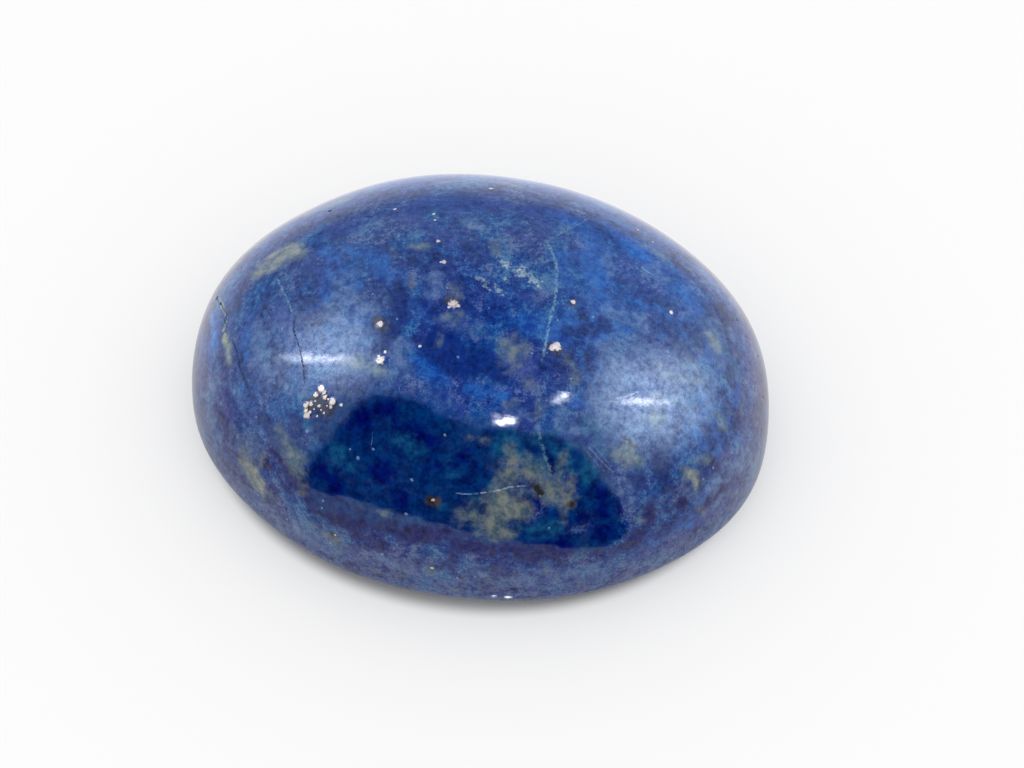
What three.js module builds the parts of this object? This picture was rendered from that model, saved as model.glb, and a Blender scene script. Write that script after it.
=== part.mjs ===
// An oval cabochon of polished lapis lazuli: one solid stone with a flat sawn
// base, a low rounded girdle and a full dome, ground and polished by hand.
//
// Millimetres. X runs along the stone's length, Y across it and Z up, with the
// origin in the middle of the flat base.

import * as THREE from 'three';

// Driving dimensions.
const LENGTH = 20;
const WIDTH = 16;
const HEIGHT = 7.2;
const GIRDLE_HEIGHT = 1; // the stone's widest line, above the base
const BASE_SHARE = 0.9; // the flat base's radius, as a share of the girdle's
const DOME_FULLNESS = 2.2; // 2 is a half ellipse, and more fills the shoulder

// What the hand left: the outline swells and pulls in by these shares of its
// radius, dying out up the dome, and the crest has drifted from the middle.
const OUTLINE_LOBES = [
  { count: 3, share: 0.0011, turn: THREE.MathUtils.degToRad(-47) },
  { count: 5, share: 0.003, turn: THREE.MathUtils.degToRad(-36) },
  { count: 6, share: 0.0023, turn: THREE.MathUtils.degToRad(-20.5) },
  { count: 8, share: 0.0036, turn: THREE.MathUtils.degToRad(-17.5) },
];
const CREST_DRIFT = new THREE.Vector2(0.15, 0.1);

// How finely the round surfaces are faceted.
const SEGMENTS_AROUND = 120;
const DOME_RINGS = 26;
const UNDERCUT_RINGS = 4;

// The profile on the unit radius, from the middle of the base to the crest.
function cabochonProfile() {
  const points = [new THREE.Vector2(0, 0)];
  const tuck = 1 - BASE_SHARE;
  for (let i = 0; i < UNDERCUT_RINGS; i += 1) {
    const angle = (i / UNDERCUT_RINGS) * (Math.PI / 2);
    points.push(new THREE.Vector2(
      BASE_SHARE + tuck * Math.sin(angle),
      GIRDLE_HEIGHT * (1 - Math.cos(angle)),
    ));
  }
  const power = 2 / DOME_FULLNESS;
  const rise = HEIGHT - GIRDLE_HEIGHT;
  for (let i = 0; i < DOME_RINGS; i += 1) {
    const angle = (i / DOME_RINGS) * (Math.PI / 2);
    points.push(new THREE.Vector2(
      Math.cos(angle) ** power,
      GIRDLE_HEIGHT + rise * Math.sin(angle) ** power,
    ));
  }
  points.push(new THREE.Vector2(0, HEIGHT));
  return points;
}

// The share by which the hand-cut outline stands out from a true oval.
function outlineSwell(angle) {
  const swell = ({ count, share, turn }) => share * Math.cos(count * (angle - turn));
  return OUTLINE_LOBES.reduce((sum, lobe) => sum + swell(lobe), 0);
}

// Turns the round, true body into the oval, hand-cut one.
function handCut(geometry) {
  const position = geometry.attributes.position;
  const point = new THREE.Vector3();
  for (let i = 0; i < position.count; i += 1) {
    point.fromBufferAttribute(position, i);
    const climb = Math.max(0, (point.z - GIRDLE_HEIGHT) / (HEIGHT - GIRDLE_HEIGHT));
    const swell = 1 + (1 - climb ** 2) * outlineSwell(Math.atan2(point.y, point.x));
    point.x = (point.x * swell * LENGTH) / 2 + CREST_DRIFT.x * climb ** 2;
    point.y = (point.y * swell * WIDTH) / 2 + CREST_DRIFT.y * climb ** 2;
    position.setXYZ(i, point.x, point.y, point.z);
  }
}

// Brings the outline to its full length and width, its middle over the origin.
function gaugeOutline(geometry) {
  geometry.computeBoundingBox();
  const middle = geometry.boundingBox.getCenter(new THREE.Vector3());
  const size = geometry.boundingBox.getSize(new THREE.Vector3());
  geometry.translate(-middle.x, -middle.y, 0);
  geometry.scale(LENGTH / size.x, WIDTH / size.y, 1);
}

function cabochonGeometry() {
  const geometry = new THREE.LatheGeometry(cabochonProfile(), SEGMENTS_AROUND);
  geometry.rotateX(Math.PI / 2);
  handCut(geometry);
  gaugeOutline(geometry);
  geometry.computeVertexNormals();
  return geometry;
}

// Deep ultramarine stone under a wet-looking polish.
const polishedLapis = new THREE.MeshStandardMaterial({
  color: 0x1f3f86,
  roughness: 0.12,
  metalness: 0,
});

const cabochon = new THREE.Mesh(cabochonGeometry(), polishedLapis);
cabochon.name = 'lapis_cabochon';

const stone = new THREE.Group();
stone.add(cabochon);

export default stone;
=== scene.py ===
# %% [markdown]
# # A polished lapis lazuli cabochon
#
# The object is one stone: an oval of lapis lazuli, ground to a dome on a flat sawn back and
# polished until it looks wet. Everything that makes it lapis is in the stone itself: blue
# lazurite in grains and clouds, grey-green calcite, brass-coloured pyrite with brown stain
# around it, hairline veins, and the few pits and scratches that a hand-cut stone keeps.
#
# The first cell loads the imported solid. It gives the size and the place, and stays untouched.

import math

import bpy
import numpy as np
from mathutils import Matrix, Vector
from mathutils.bvhtree import BVHTree


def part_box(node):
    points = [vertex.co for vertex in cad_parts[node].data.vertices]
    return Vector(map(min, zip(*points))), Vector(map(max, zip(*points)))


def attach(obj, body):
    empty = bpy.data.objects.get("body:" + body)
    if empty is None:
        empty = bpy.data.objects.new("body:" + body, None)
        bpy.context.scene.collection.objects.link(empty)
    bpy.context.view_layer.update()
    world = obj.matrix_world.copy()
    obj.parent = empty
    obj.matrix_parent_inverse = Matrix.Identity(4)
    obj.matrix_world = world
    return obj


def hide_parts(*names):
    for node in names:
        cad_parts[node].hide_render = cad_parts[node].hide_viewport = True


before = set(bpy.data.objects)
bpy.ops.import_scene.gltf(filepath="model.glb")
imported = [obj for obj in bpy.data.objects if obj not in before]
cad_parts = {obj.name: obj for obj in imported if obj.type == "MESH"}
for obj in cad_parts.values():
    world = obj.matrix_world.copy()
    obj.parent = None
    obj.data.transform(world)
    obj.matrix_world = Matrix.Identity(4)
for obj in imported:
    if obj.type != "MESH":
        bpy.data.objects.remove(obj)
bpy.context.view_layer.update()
NODE = "lapis_cabochon"
low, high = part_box(NODE)
LENGTH, WIDTH, HEIGHT = high - low
MM = 0.001
print("the solid measures", [round(side / MM, 2) for side in (LENGTH, WIDTH, HEIGHT)], "mm")

# %% [markdown]
# ## Helpers
#
# Colours are written as people know them from paint programs, in sRGB hex, while Blender
# mixes light in linear values, so one function turns the first into the second. Every shader
# node is added by one other function, with its settings by name and its inputs by socket. An
# input can be a number or a colour, a socket to link, or a node, which means its first output.


# %% Helpers
def linear(hex_colour):
    """From sRGB hex to the linear values that light is mixed in, with full alpha."""
    channels = [int(hex_colour[i:i + 2], 16) / 255 for i in (1, 3, 5)]
    bent = [c / 12.92 if c <= 0.04045 else ((c + 0.055) / 1.055) ** 2.4 for c in channels]
    return (*bent, 1.0)


def plug(tree, node, inputs):
    """Fills a node's inputs with values, sockets or nodes."""
    for socket, value in inputs.items():
        if isinstance(value, bpy.types.Node):
            value = next(output for output in value.outputs if output.enabled)
        if isinstance(value, bpy.types.NodeSocket):
            tree.links.new(value, node.inputs[socket])
        else:
            node.inputs[socket].default_value = value


def add_node(tree, kind, inputs=None, **settings):
    """Adds a shader node of a kind, with its inputs filled and its settings made."""
    node = tree.nodes.new("ShaderNode" + kind)
    for name, value in settings.items():
        setattr(node, name, value)
    plug(tree, node, inputs or {})
    return node


def deselect_all():
    if bpy.context.mode != "OBJECT":
        bpy.ops.object.mode_set(mode="OBJECT")
    bpy.ops.object.select_all(action="DESELECT")


# %% [markdown]
# ## The camera
#
# A small stone is looked at through a long macro lens, from above its near side. The lens is
# long enough that the oval hardly narrows towards the back. The camera comes first, because
# the marks on the stone and the lamps mirrored in it are placed by where they show in its
# frame of 1024 by 768 pixels.

# %% The camera
FRAME_PIXELS = (1024, 768)
SENSOR = 36.0
CAMERA_AZIMUTH = math.radians(11.36)
CAMERA_ELEVATION = math.radians(54.5)
CAMERA_DISTANCE = 120 * MM
CAMERA_LENS = 121.0
CAMERA_AIM = Vector((0.86, 1.39, 0.0)) * MM
CAMERA_SEES_FROM = 5 * MM

towards_camera = Vector((
    math.sin(CAMERA_AZIMUTH) * math.cos(CAMERA_ELEVATION),
    -math.cos(CAMERA_AZIMUTH) * math.cos(CAMERA_ELEVATION),
    math.sin(CAMERA_ELEVATION),
))
camera_data = bpy.data.cameras.new("macro_camera")
camera_data.lens = CAMERA_LENS
camera_data.sensor_width = SENSOR
camera_data.clip_start = CAMERA_SEES_FROM
camera = bpy.data.objects.new("macro_camera", camera_data)
camera.location = CAMERA_AIM + towards_camera * CAMERA_DISTANCE
camera.rotation_euler = towards_camera.to_track_quat("Z", "Y").to_euler()
bpy.context.scene.collection.objects.link(camera)
bpy.context.scene.camera = camera
bpy.context.view_layer.update()
print("the camera stands", [round(c / MM, 1) for c in camera.location], "mm from the origin")


def sight_line(x, y):
    """The direction in which a frame pixel looks out of the camera."""
    width, height = FRAME_PIXELS
    across = (x - width / 2) / width * SENSOR / CAMERA_LENS
    up = (height / 2 - y) / width * SENSOR / CAMERA_LENS
    return (camera.matrix_world.to_quaternion() @ Vector((across, up, -1))).normalized()


# %% [markdown]
# ## The shape
#
# A lapidary saws a slab, draws an oval on it and grinds the top to a template, so the stone's
# height is a half ellipse a little full at the shoulder, and the lower edge is rounded under
# so that it doesn't chip. The marks that are painted on later need an even, dense mesh with no
# pole at the crest, where a mirror-like polish would show one. A ball made from a cube has
# that: the cube is divided, cast to a ball, cut in half at its equator, and closed by a grid.

# %% A half ball of even faces
CUBE_CUTS = 99  # odd, so that a loop of edges runs along the equator

deselect_all()
bpy.ops.mesh.primitive_cube_add(size=2, location=(0, 0, 0))
stone = bpy.context.object
stone.name = stone.data.name = "polished_lapis"
bpy.ops.object.mode_set(mode="EDIT")
bpy.ops.mesh.select_all(action="SELECT")
bpy.ops.mesh.subdivide(number_cuts=CUBE_CUTS)
bpy.ops.object.mode_set(mode="OBJECT")
to_ball = stone.modifiers.new("to_ball", "CAST")
to_ball.cast_type = "SPHERE"
to_ball.factor = 1.0
to_ball.radius = 0.0  # reaches every point
bpy.ops.object.modifier_apply(modifier=to_ball.name)
ball_radius = stone.data.vertices[0].co.length
bpy.ops.object.mode_set(mode="EDIT")
bpy.ops.mesh.select_all(action="SELECT")
bpy.ops.transform.resize(value=(1 / ball_radius,) * 3, center_override=(0, 0, 0))
bpy.ops.mesh.bisect(plane_co=(0, 0, 0), plane_no=(0, 0, 1), clear_inner=True)
bpy.ops.mesh.select_all(action="DESELECT")
bpy.ops.mesh.select_non_manifold()
bpy.ops.mesh.fill_grid(span=CUBE_CUTS + 1, use_interp_simple=True)
bpy.ops.mesh.select_all(action="SELECT")
bpy.ops.mesh.normals_make_consistent(inside=False)
bpy.ops.object.mode_set(mode="OBJECT")
print("half ball:", len(stone.data.vertices), "vertices", len(stone.data.polygons), "faces")

# %% [markdown]
# ## Grinding to the template
#
# The half ball's height above the equator says how far up the template a point lies, counted
# along the curve, so the faces stay even. The template has two arcs: the rounded-under edge,
# and the dome. By hand no oval comes out true, so its outline swells and pulls in by a few
# hundredths of a millimetre, and the crest sits a little off the middle.

# %% The template
GIRDLE_HEIGHT = 1.0 * MM
BASE_SHARE = 0.9
DOME_FULLNESS = 2.2
CURVE_POINTS = 400  # along each of the two arcs
# number of lobes, how far they swell as a share of the radius, and their turn in degrees
OUTLINE_LOBES = [(3, 0.0011, -47), (5, 0.003, -36), (6, 0.0023, -20.5), (8, 0.0036, -17.5)]
CREST_DRIFT = (0.15 * MM, 0.1 * MM)


def template_curve():
    """Radius share and height along the template, from the base's rim to the crest."""
    turn = np.linspace(0, math.pi / 2, CURVE_POINTS)
    under = np.stack([
        BASE_SHARE + (1 - BASE_SHARE) * np.sin(turn),
        GIRDLE_HEIGHT * (1 - np.cos(turn)),
    ], axis=1)
    power = 2 / DOME_FULLNESS
    over = np.stack([
        np.cos(turn).clip(0) ** power,
        GIRDLE_HEIGHT + (HEIGHT - GIRDLE_HEIGHT) * np.sin(turn) ** power,
    ], axis=1)
    return np.concatenate([under, over[1:]])


curve = template_curve()
mean_radius = (LENGTH + WIDTH) / 4
steps = np.hypot(np.diff(curve[:, 0]) * mean_radius, np.diff(curve[:, 1]))
run = np.concatenate([[0], np.cumsum(steps)])
print("the template is", round(run[-1] / MM, 2), "mm long, base to crest")


# %% Grinding
AT_EQUATOR = 1e-5  # of the ball's radius: what lies lower is the base


def ground_to_template(ball):
    """Takes points of the unit half ball to the hand-cut stone."""
    around = np.arctan2(ball[:, 1], ball[:, 0])
    way_up = np.arcsin(ball[:, 2].clip(0, 1)) / (math.pi / 2) * run[-1]
    radius = np.interp(way_up, run, curve[:, 0])
    height = np.interp(way_up, run, curve[:, 1])
    in_base = ball[:, 2] < AT_EQUATOR
    radius = np.where(in_base, BASE_SHARE * np.hypot(ball[:, 0], ball[:, 1]), radius)
    height = np.where(in_base, 0.0, height)
    climb = ((height - GIRDLE_HEIGHT) / (HEIGHT - GIRDLE_HEIGHT)).clip(0) ** 2
    swell = sum(share * np.cos(count * (around - math.radians(turn)))
                for count, share, turn in OUTLINE_LOBES)
    radius = radius * (1 + (1 - climb) * swell)
    return np.stack([
        radius * np.cos(around) * LENGTH / 2 + CREST_DRIFT[0] * climb,
        radius * np.sin(around) * WIDTH / 2 + CREST_DRIFT[1] * climb,
        height,
    ], axis=1)


def points_of(mesh):
    flat = np.empty(len(mesh.vertices) * 3)
    mesh.vertices.foreach_get("co", flat)
    return flat.reshape(-1, 3)


def put_points(mesh, points):
    mesh.vertices.foreach_set("co", np.ascontiguousarray(points, dtype=np.float32).ravel())
    mesh.update()


rough_cut = ground_to_template(points_of(stone.data))
middle = (rough_cut.max(0) + rough_cut.min(0)) / 2
size = rough_cut.max(0) - rough_cut.min(0)
print("cut by hand it measures", np.round(size / MM, 3), "mm")


def cut_to_gauge(ball):
    """The hand-cut stone, brought to its full length and width over the origin."""
    cut = ground_to_template(ball)
    cut[:, :2] = (cut[:, :2] - middle[:2]) * (np.array([LENGTH, WIDTH]) / size[:2])
    return cut


# %% [markdown]
# ## Finding places on the stone
#
# A mark is given by the frame pixels where it shows, and has to come to lie on the stone. The
# sight line of a pixel could be tried on every face, but a search tree of the faces finds the
# one that it meets in a moment, and also tells which surface is nearest to a place.

# %% Finding places on the stone
STONE_MIDDLE = (481, 388)
DRAWN_IN_BY = 0.01  # of the way to the middle, at each new try

surface = BVHTree.FromPolygons(
    [Vector(point) for point in cut_to_gauge(points_of(stone.data))],
    [tuple(face.vertices) for face in stone.data.polygons])


def place_on_stone(x, y):
    """Where a frame pixel's sight line meets the stone, and the surface's normal there.

    A pixel just past the outline is drawn in towards the stone's middle.
    """
    place = None
    while place is None:
        place, normal, _, _ = surface.ray_cast(camera.location, sight_line(x, y))
        x += (STONE_MIDDLE[0] - x) * DRAWN_IN_BY
        y += (STONE_MIDDLE[1] - y) * DRAWN_IN_BY
    return place, normal


def places_on_stone(pixels):
    return np.array([place_on_stone(x, y)[0] for x, y in pixels])


print("its middle lies at", np.round(places_on_stone([STONE_MIDDLE])[0] / MM, 2), "mm")


# %% [markdown]
# ## The stone's markings
#
# Lapis is a rock, not a crystal: lazurite grains from navy to bright blue, greyed where they
# are mixed with diopside, pale grey-green where calcite is left, and crossed by hairlines.
# A noise alone would give blue mottling anywhere, but not this stone, so its clouds are put on
# as a painter would: in short brush strokes. Each stroke has a half width in millimetres, a
# strength, and the places in the frame that it runs through.

# %% Calcite clouds
CALCITE = [
    # the big cloud in front, its lower lobe and its right arm
    (0.34, 0.8, [(510, 452), (514, 466), (524, 474)]),
    (0.44, 1.4, [(512, 478), (502, 492), (499, 508)]),
    (0.36, 1.2, [(466, 516), (482, 521), (498, 520), (514, 514), (521, 510)]),
    (0.32, 1.0, [(496, 530), (508, 533)]),
    (0.24, 0.7, [(470, 504), (474, 512)]),
    (0.38, 1.3, [(524, 472), (538, 478), (548, 486), (558, 494)]),
    (0.26, 0.8, [(563, 456), (561, 468), (559, 484)]),
    (0.30, 1.0, [(552, 500), (560, 500), (569, 504)]),
    (0.26, 0.8, [(566, 512), (565, 518)]),
    (0.20, 0.7, [(572, 478), (571, 490)]),
    # below it and to its left
    (0.26, 0.5, [(471, 437), (487, 440)]),
    (0.30, 0.6, [(432, 560), (433, 574)]),
    (0.26, 0.5, [(542, 566), (549, 572)]),
    (0.18, 0.5, [(452, 590), (463, 591)]),
    (0.34, 0.75, [(328, 536), (338, 543), (337, 551)]),
    (0.24, 0.5, [(315, 526), (325, 533)]),
    (0.20, 0.5, [(382, 513), (392, 512)]),
    # the left flank
    (0.34, 0.9, [(279, 430), (288, 438)]),
    (0.42, 1.1, [(290, 446), (295, 460), (299, 468)]),
    (0.46, 1.2, [(249, 468), (254, 477), (260, 486)]),
    (0.24, 0.7, [(262, 457), (262, 470)]),
    (0.24, 0.5, [(266, 491), (276, 498)]),
    (0.20, 0.45, [(297, 494), (303, 492)]),
    (0.30, 1.3, [(256, 275), (268, 268), (278, 259), (288, 251), (298, 252)]),
    (0.26, 1.0, [(345, 362), (366, 365), (382, 371)]),
    (0.16, 0.8, [(272, 262), (284, 254)]),
    (0.40, 0.9, [(232, 260), (246, 248), (260, 239)]),
    (0.30, 1.0, [(290, 220), (312, 212), (330, 206), (345, 200)]),
    # the crown
    (0.20, 0.55, [(409, 244), (427, 247)]),
    (0.14, 0.5, [(393, 249), (395, 258)]),
    (0.18, 0.6, [(412, 279), (412, 288)]),
    (0.28, 0.55, [(451, 285), (458, 295)]),
    (0.30, 0.9, [(444, 318), (460, 315)]),
    (0.20, 0.4, [(441, 330), (440, 342)]),
    (0.30, 0.45, [(493, 245), (497, 251)]),
    (0.42, 1.1, [(504, 344), (513, 352), (512, 360)]),
    (0.18, 0.8, [(504, 334), (511, 336)]),
    (0.36, 0.7, [(530, 384), (539, 397), (540, 408)]),
    (0.26, 0.4, [(506, 405), (526, 400)]),
    (0.30, 0.5, [(569, 360), (577, 370), (573, 380)]),
    (0.24, 0.5, [(490, 183), (520, 188)]),
    (0.22, 0.4, [(514, 201), (526, 205)]),
    (0.24, 0.5, [(600, 206), (613, 210)]),
    # the right flank
    (0.36, 0.5, [(644, 246), (658, 254), (664, 262)]),
    (0.44, 0.85, [(664, 374), (680, 376), (696, 381)]),
    (0.26, 0.7, [(697, 370), (700, 386)]),
    (0.34, 1.0, [(648, 414), (660, 419)]),
    (0.26, 0.6, [(644, 404), (662, 408)]),
    (0.22, 0.45, [(650, 394), (661, 396)]),
    (0.34, 0.9, [(711, 338), (717, 346)]),
    (0.30, 0.7, [(731, 346), (738, 358)]),
    (0.14, 0.55, [(743, 394), (742, 414)]),
    (0.30, 0.5, [(718, 415), (726, 431)]),
    (0.36, 0.9, [(621, 452), (633, 457), (642, 461)]),
    (0.24, 0.45, [(619, 466), (645, 469)]),
    (0.28, 0.85, [(687, 471), (694, 478), (698, 487)]),
    (0.28, 0.6, [(693, 461), (708, 459)]),
    (0.22, 0.5, [(633, 517), (643, 521)]),
    (0.24, 0.4, [(697, 507), (704, 516)]),
]
print(len(CALCITE), "calcite strokes")

# %% More calcite, low on the sides
CALCITE += [
    (0.24, 1.0, [(226, 338), (228, 350), (229, 360)]),
    (0.28, 1.0, [(488, 182), (502, 182), (516, 185)]),
    (0.16, 0.8, [(438, 183), (452, 181), (466, 182)]),
]
print(len(CALCITE), "with those on the sides")

# %% Greyed, steel-blue clouds
STEEL = [
    (0.50, 0.7, [(712, 330), (722, 350), (730, 372)]),
    (0.40, 0.6, [(700, 392), (706, 408)]),
    (0.50, 0.6, [(640, 350), (656, 356)]),
    (0.40, 0.6, [(716, 505), (728, 486)]),
    (0.55, 0.8, [(338, 286), (352, 300), (364, 312)]),
    (0.40, 0.7, [(352, 318), (362, 330)]),
    (0.60, 0.6, [(318, 342), (345, 348)]),
    (0.50, 0.8, [(332, 312), (348, 322), (352, 336)]),
    (0.50, 0.6, [(368, 356), (378, 372)]),
    (0.50, 0.6, [(452, 322), (470, 334)]),
    (0.50, 0.7, [(610, 312), (630, 322), (648, 330)]),
    (0.50, 0.7, [(690, 494), (712, 488), (730, 474)]),
    (0.40, 0.7, [(345, 368), (372, 370)]),
    (0.42, 0.9, [(398, 344), (400, 370)]),
    (0.45, 0.6, [(428, 280), (438, 292)]),
    (0.34, 0.6, [(470, 222), (480, 228)]),
    (0.22, 0.6, [(374, 221), (381, 225)]),
    (0.26, 0.5, [(283, 382), (291, 395)]),
    (0.55, 0.5, [(255, 330), (262, 360), (268, 380)]),
    (0.30, 0.6, [(607, 257), (612, 270), (617, 282)]),
    (0.36, 0.7, [(653, 267), (668, 281)]),
    (0.30, 0.4, [(586, 298), (594, 303)]),
    (0.45, 0.6, [(694, 267), (706, 277), (716, 288)]),
    (0.55, 0.6, [(618, 330), (634, 342)]),
    (0.65, 0.75, [(608, 356), (620, 378), (610, 396)]),
    (0.60, 0.7, [(598, 414), (622, 424), (655, 430)]),
    (0.40, 0.6, [(690, 410), (700, 420)]),
    (0.40, 0.6, [(714, 320), (732, 334)]),
    (0.34, 0.8, [(716, 480), (734, 471), (743, 456)]),
    (0.30, 0.6, [(628, 480), (632, 502)]),
    (0.30, 0.45, [(602, 481), (612, 488)]),
    (0.16, 0.6, [(664, 489), (661, 516)]),
    (0.40, 0.5, [(427, 398), (446, 403)]),
    (0.30, 0.5, [(450, 421), (474, 420)]),
    (0.16, 0.8, [(442, 433), (444, 439)]),
    (0.18, 0.6, [(440, 316), (440, 346)]),
    (0.60, 0.5, [(230, 430), (252, 442)]),
    (0.60, 0.5, [(262, 505), (290, 528), (322, 545)]),
    (0.50, 0.5, [(380, 560), (420, 575)]),
    (0.55, 0.5, [(470, 570), (520, 582)]),
    (0.50, 0.45, [(560, 575), (600, 572)]),
    (0.40, 0.4, [(404, 468), (411, 490)]),
    (0.60, 0.4, [(215, 380), (212, 420)]),
    (0.50, 0.4, [(560, 425), (585, 432)]),
    (0.30, 0.6, [(505, 412), (530, 417)]),
    (0.12, 0.8, [(538, 424), (539, 441)]),
    (0.40, 0.5, [(720, 285), (740, 315)]),
]
print(len(STEEL), "steel-blue strokes")

# %% Bright, saturated blue
BRIGHT = [
    (0.50, 0.8, [(604, 222), (622, 236), (640, 252)]),
    (0.40, 0.7, [(560, 215), (580, 226)]),
    (0.50, 0.7, [(340, 262), (352, 290)]),
    (0.55, 0.8, [(585, 235), (594, 262), (598, 300)]),
    (0.40, 0.6, [(560, 250), (566, 285)]),
    (0.24, 1.2, [(213, 314), (216, 332), (213, 348)]),
    (0.16, 0.9, [(203, 330), (202, 352)]),
    (0.45, 0.5, [(325, 250), (330, 275)]),
    (0.60, 0.5, [(345, 250), (380, 262), (398, 285)]),
    (0.40, 0.5, [(420, 300), (430, 320)]),
    (0.50, 0.5, [(415, 360), (440, 378)]),
    (0.50, 0.5, [(520, 320), (545, 330)]),
    (0.60, 0.5, [(640, 300), (665, 310)]),
    (0.50, 0.6, [(678, 290), (700, 310)]),
    (0.40, 0.6, [(690, 350), (702, 358)]),
    (0.45, 0.5, [(575, 400), (590, 412)]),
    (0.30, 0.7, [(600, 214), (622, 224), (642, 236), (660, 250)]),
    (0.45, 1.4, [(598, 300), (612, 312), (622, 322)]),
    (0.42, 1.5, [(560, 330), (585, 332), (602, 326)]),
    (0.34, 1.0, [(584, 346), (587, 358), (591, 370)]),
    (0.36, 1.0, [(666, 334), (680, 346)]),
    (0.26, 1.3, [(728, 364), (732, 378), (734, 392)]),
    (0.34, 1.2, [(700, 428), (708, 438), (716, 446)]),
    (0.45, 1.0, [(330, 296), (344, 302), (358, 316)]),
    (0.34, 1.2, [(688, 330), (698, 338), (706, 346)]),
    (0.45, 0.8, [(560, 318), (580, 324), (600, 322)]),
    (0.40, 0.5, [(700, 395), (712, 412)]),
    (0.30, 0.6, [(731, 384), (734, 402)]),
    (0.50, 0.4, [(470, 390), (500, 395)]),
    (0.50, 0.5, [(650, 540), (690, 522)]),
    (0.50, 0.5, [(245, 350), (250, 320)]),
    (0.40, 0.5, [(700, 500), (712, 486)]),
]
print(len(BRIGHT), "bright blue strokes")

# %% Deep navy pockets
DEEP = [
    (0.16, 0.9, [(253, 271), (245, 282), (240, 292), (237, 312)]),
    (0.16, 0.8, [(263, 254), (258, 266)]),
    (0.30, 0.5, [(283, 240), (298, 230), (311, 226)]),
    (0.24, 0.5, [(330, 218), (350, 212)]),
    (0.26, 0.5, [(465, 242), (480, 263)]),
    (0.34, 0.5, [(538, 198), (556, 204), (576, 198)]),
    (0.34, 1.0, [(397, 290), (399, 314), (392, 330)]),
    (0.30, 0.6, [(423, 299), (430, 314)]),
    (0.32, 0.8, [(378, 330), (384, 344), (376, 352)]),
    (0.26, 0.6, [(670, 257), (686, 270)]),
    (0.16, 0.6, [(617, 278), (625, 283)]),
    (0.26, 0.5, [(578, 306), (583, 316)]),
    (0.26, 2.2, [(440, 346), (448, 351), (456, 360)]),
    (0.20, 1.6, [(456, 352), (467, 358), (474, 366)]),
    (0.24, 1.7, [(486, 360), (496, 366), (502, 374)]),
    (0.30, 0.7, [(562, 330), (585, 332), (604, 326)]),
    (0.30, 0.9, [(585, 348), (590, 366)]),
    (0.36, 1.1, [(668, 330), (676, 342), (686, 350)]),
    (0.34, 1.1, [(690, 330), (698, 344)]),
    (0.26, 0.9, [(702, 300), (712, 312)]),
    (0.22, 0.8, [(722, 392), (728, 408)]),
    (0.30, 1.0, [(642, 294), (656, 300), (670, 304)]),
    (0.22, 0.9, [(728, 362), (731, 378), (733, 392)]),
    (0.12, 0.9, [(240, 354), (241, 366), (245, 379), (249, 389), (253, 398)]),
    (0.22, 0.6, [(270, 345), (283, 354), (274, 360)]),
    (0.24, 0.8, [(264, 412), (267, 424), (272, 436)]),
    (0.26, 0.8, [(272, 440), (277, 453)]),
    (0.22, 0.7, [(292, 418), (298, 424)]),
    (0.24, 0.5, [(282, 466), (297, 480)]),
    (0.30, 0.8, [(300, 486), (309, 505)]),
    (0.36, 0.8, [(316, 512), (340, 520), (360, 535)]),
    (0.30, 0.6, [(362, 524), (382, 530), (398, 530)]),
    (0.34, 0.8, [(404, 535), (430, 533), (446, 532)]),
    (0.30, 0.6, [(456, 545), (478, 548)]),
    (0.26, 0.8, [(505, 548), (520, 550)]),
    (0.34, 0.9, [(530, 556), (548, 552), (565, 547)]),
    (0.34, 0.9, [(601, 495), (604, 514)]),
    (0.14, 0.7, [(618, 499), (620, 511)]),
    (0.30, 0.8, [(650, 502), (650, 518)]),
    (0.24, 0.7, [(668, 510), (684, 502)]),
    (0.30, 0.7, [(622, 548), (640, 538)]),
    (0.24, 0.5, [(660, 536), (670, 530)]),
    (0.30, 0.9, [(655, 452), (662, 470), (668, 488)]),
    (0.28, 1.0, [(706, 428), (712, 446)]),
    (0.26, 0.7, [(740, 418), (745, 434)]),
    (0.30, 0.7, [(524, 498), (528, 506)]),
    (0.10, 0.9, [(485, 494), (485, 513)]),
    (0.09, 0.8, [(557, 482), (559, 485)]),
    (0.14, 0.7, [(552, 456), (551, 470)]),
    (0.45, 0.6, [(320, 470), (338, 486)]),
    (0.50, 0.6, [(350, 425), (372, 412), (392, 404)]),
    (0.60, 0.5, [(380, 475), (400, 500)]),
    (0.60, 0.5, [(430, 470), (470, 460)]),
    (0.60, 0.5, [(580, 520), (600, 530)]),
    (0.50, 0.4, [(430, 440), (400, 425)]),
    (0.30, 0.5, [(628, 475), (640, 478)]),
]
print(len(DEEP), "navy strokes")

# %% Dense, even lazurite
DENSE = [
    (1.00, 1.0, [(352, 432), (392, 428), (430, 445), (470, 452)]),
    (0.80, 1.0, [(320, 476), (372, 470), (430, 478), (486, 480)]),
    (0.70, 1.0, [(330, 500), (390, 505), (450, 516)]),
    (0.45, 1.0, [(490, 440), (515, 447), (545, 448), (580, 458)]),
    (0.50, 1.0, [(330, 490), (360, 492), (400, 496)]),
    (0.50, 1.0, [(440, 506), (480, 512), (500, 530), (540, 538)]),
    (0.50, 0.9, [(592, 478), (606, 505), (604, 530)]),
    (0.40, 0.8, [(452, 505), (466, 495), (478, 470)]),
    (0.35, 0.8, [(524, 540), (560, 545), (600, 540)]),
    (0.45, 0.9, [(556, 522), (578, 512), (598, 500)]),
]
print(len(DENSE), "dense lazurite strokes")

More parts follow.
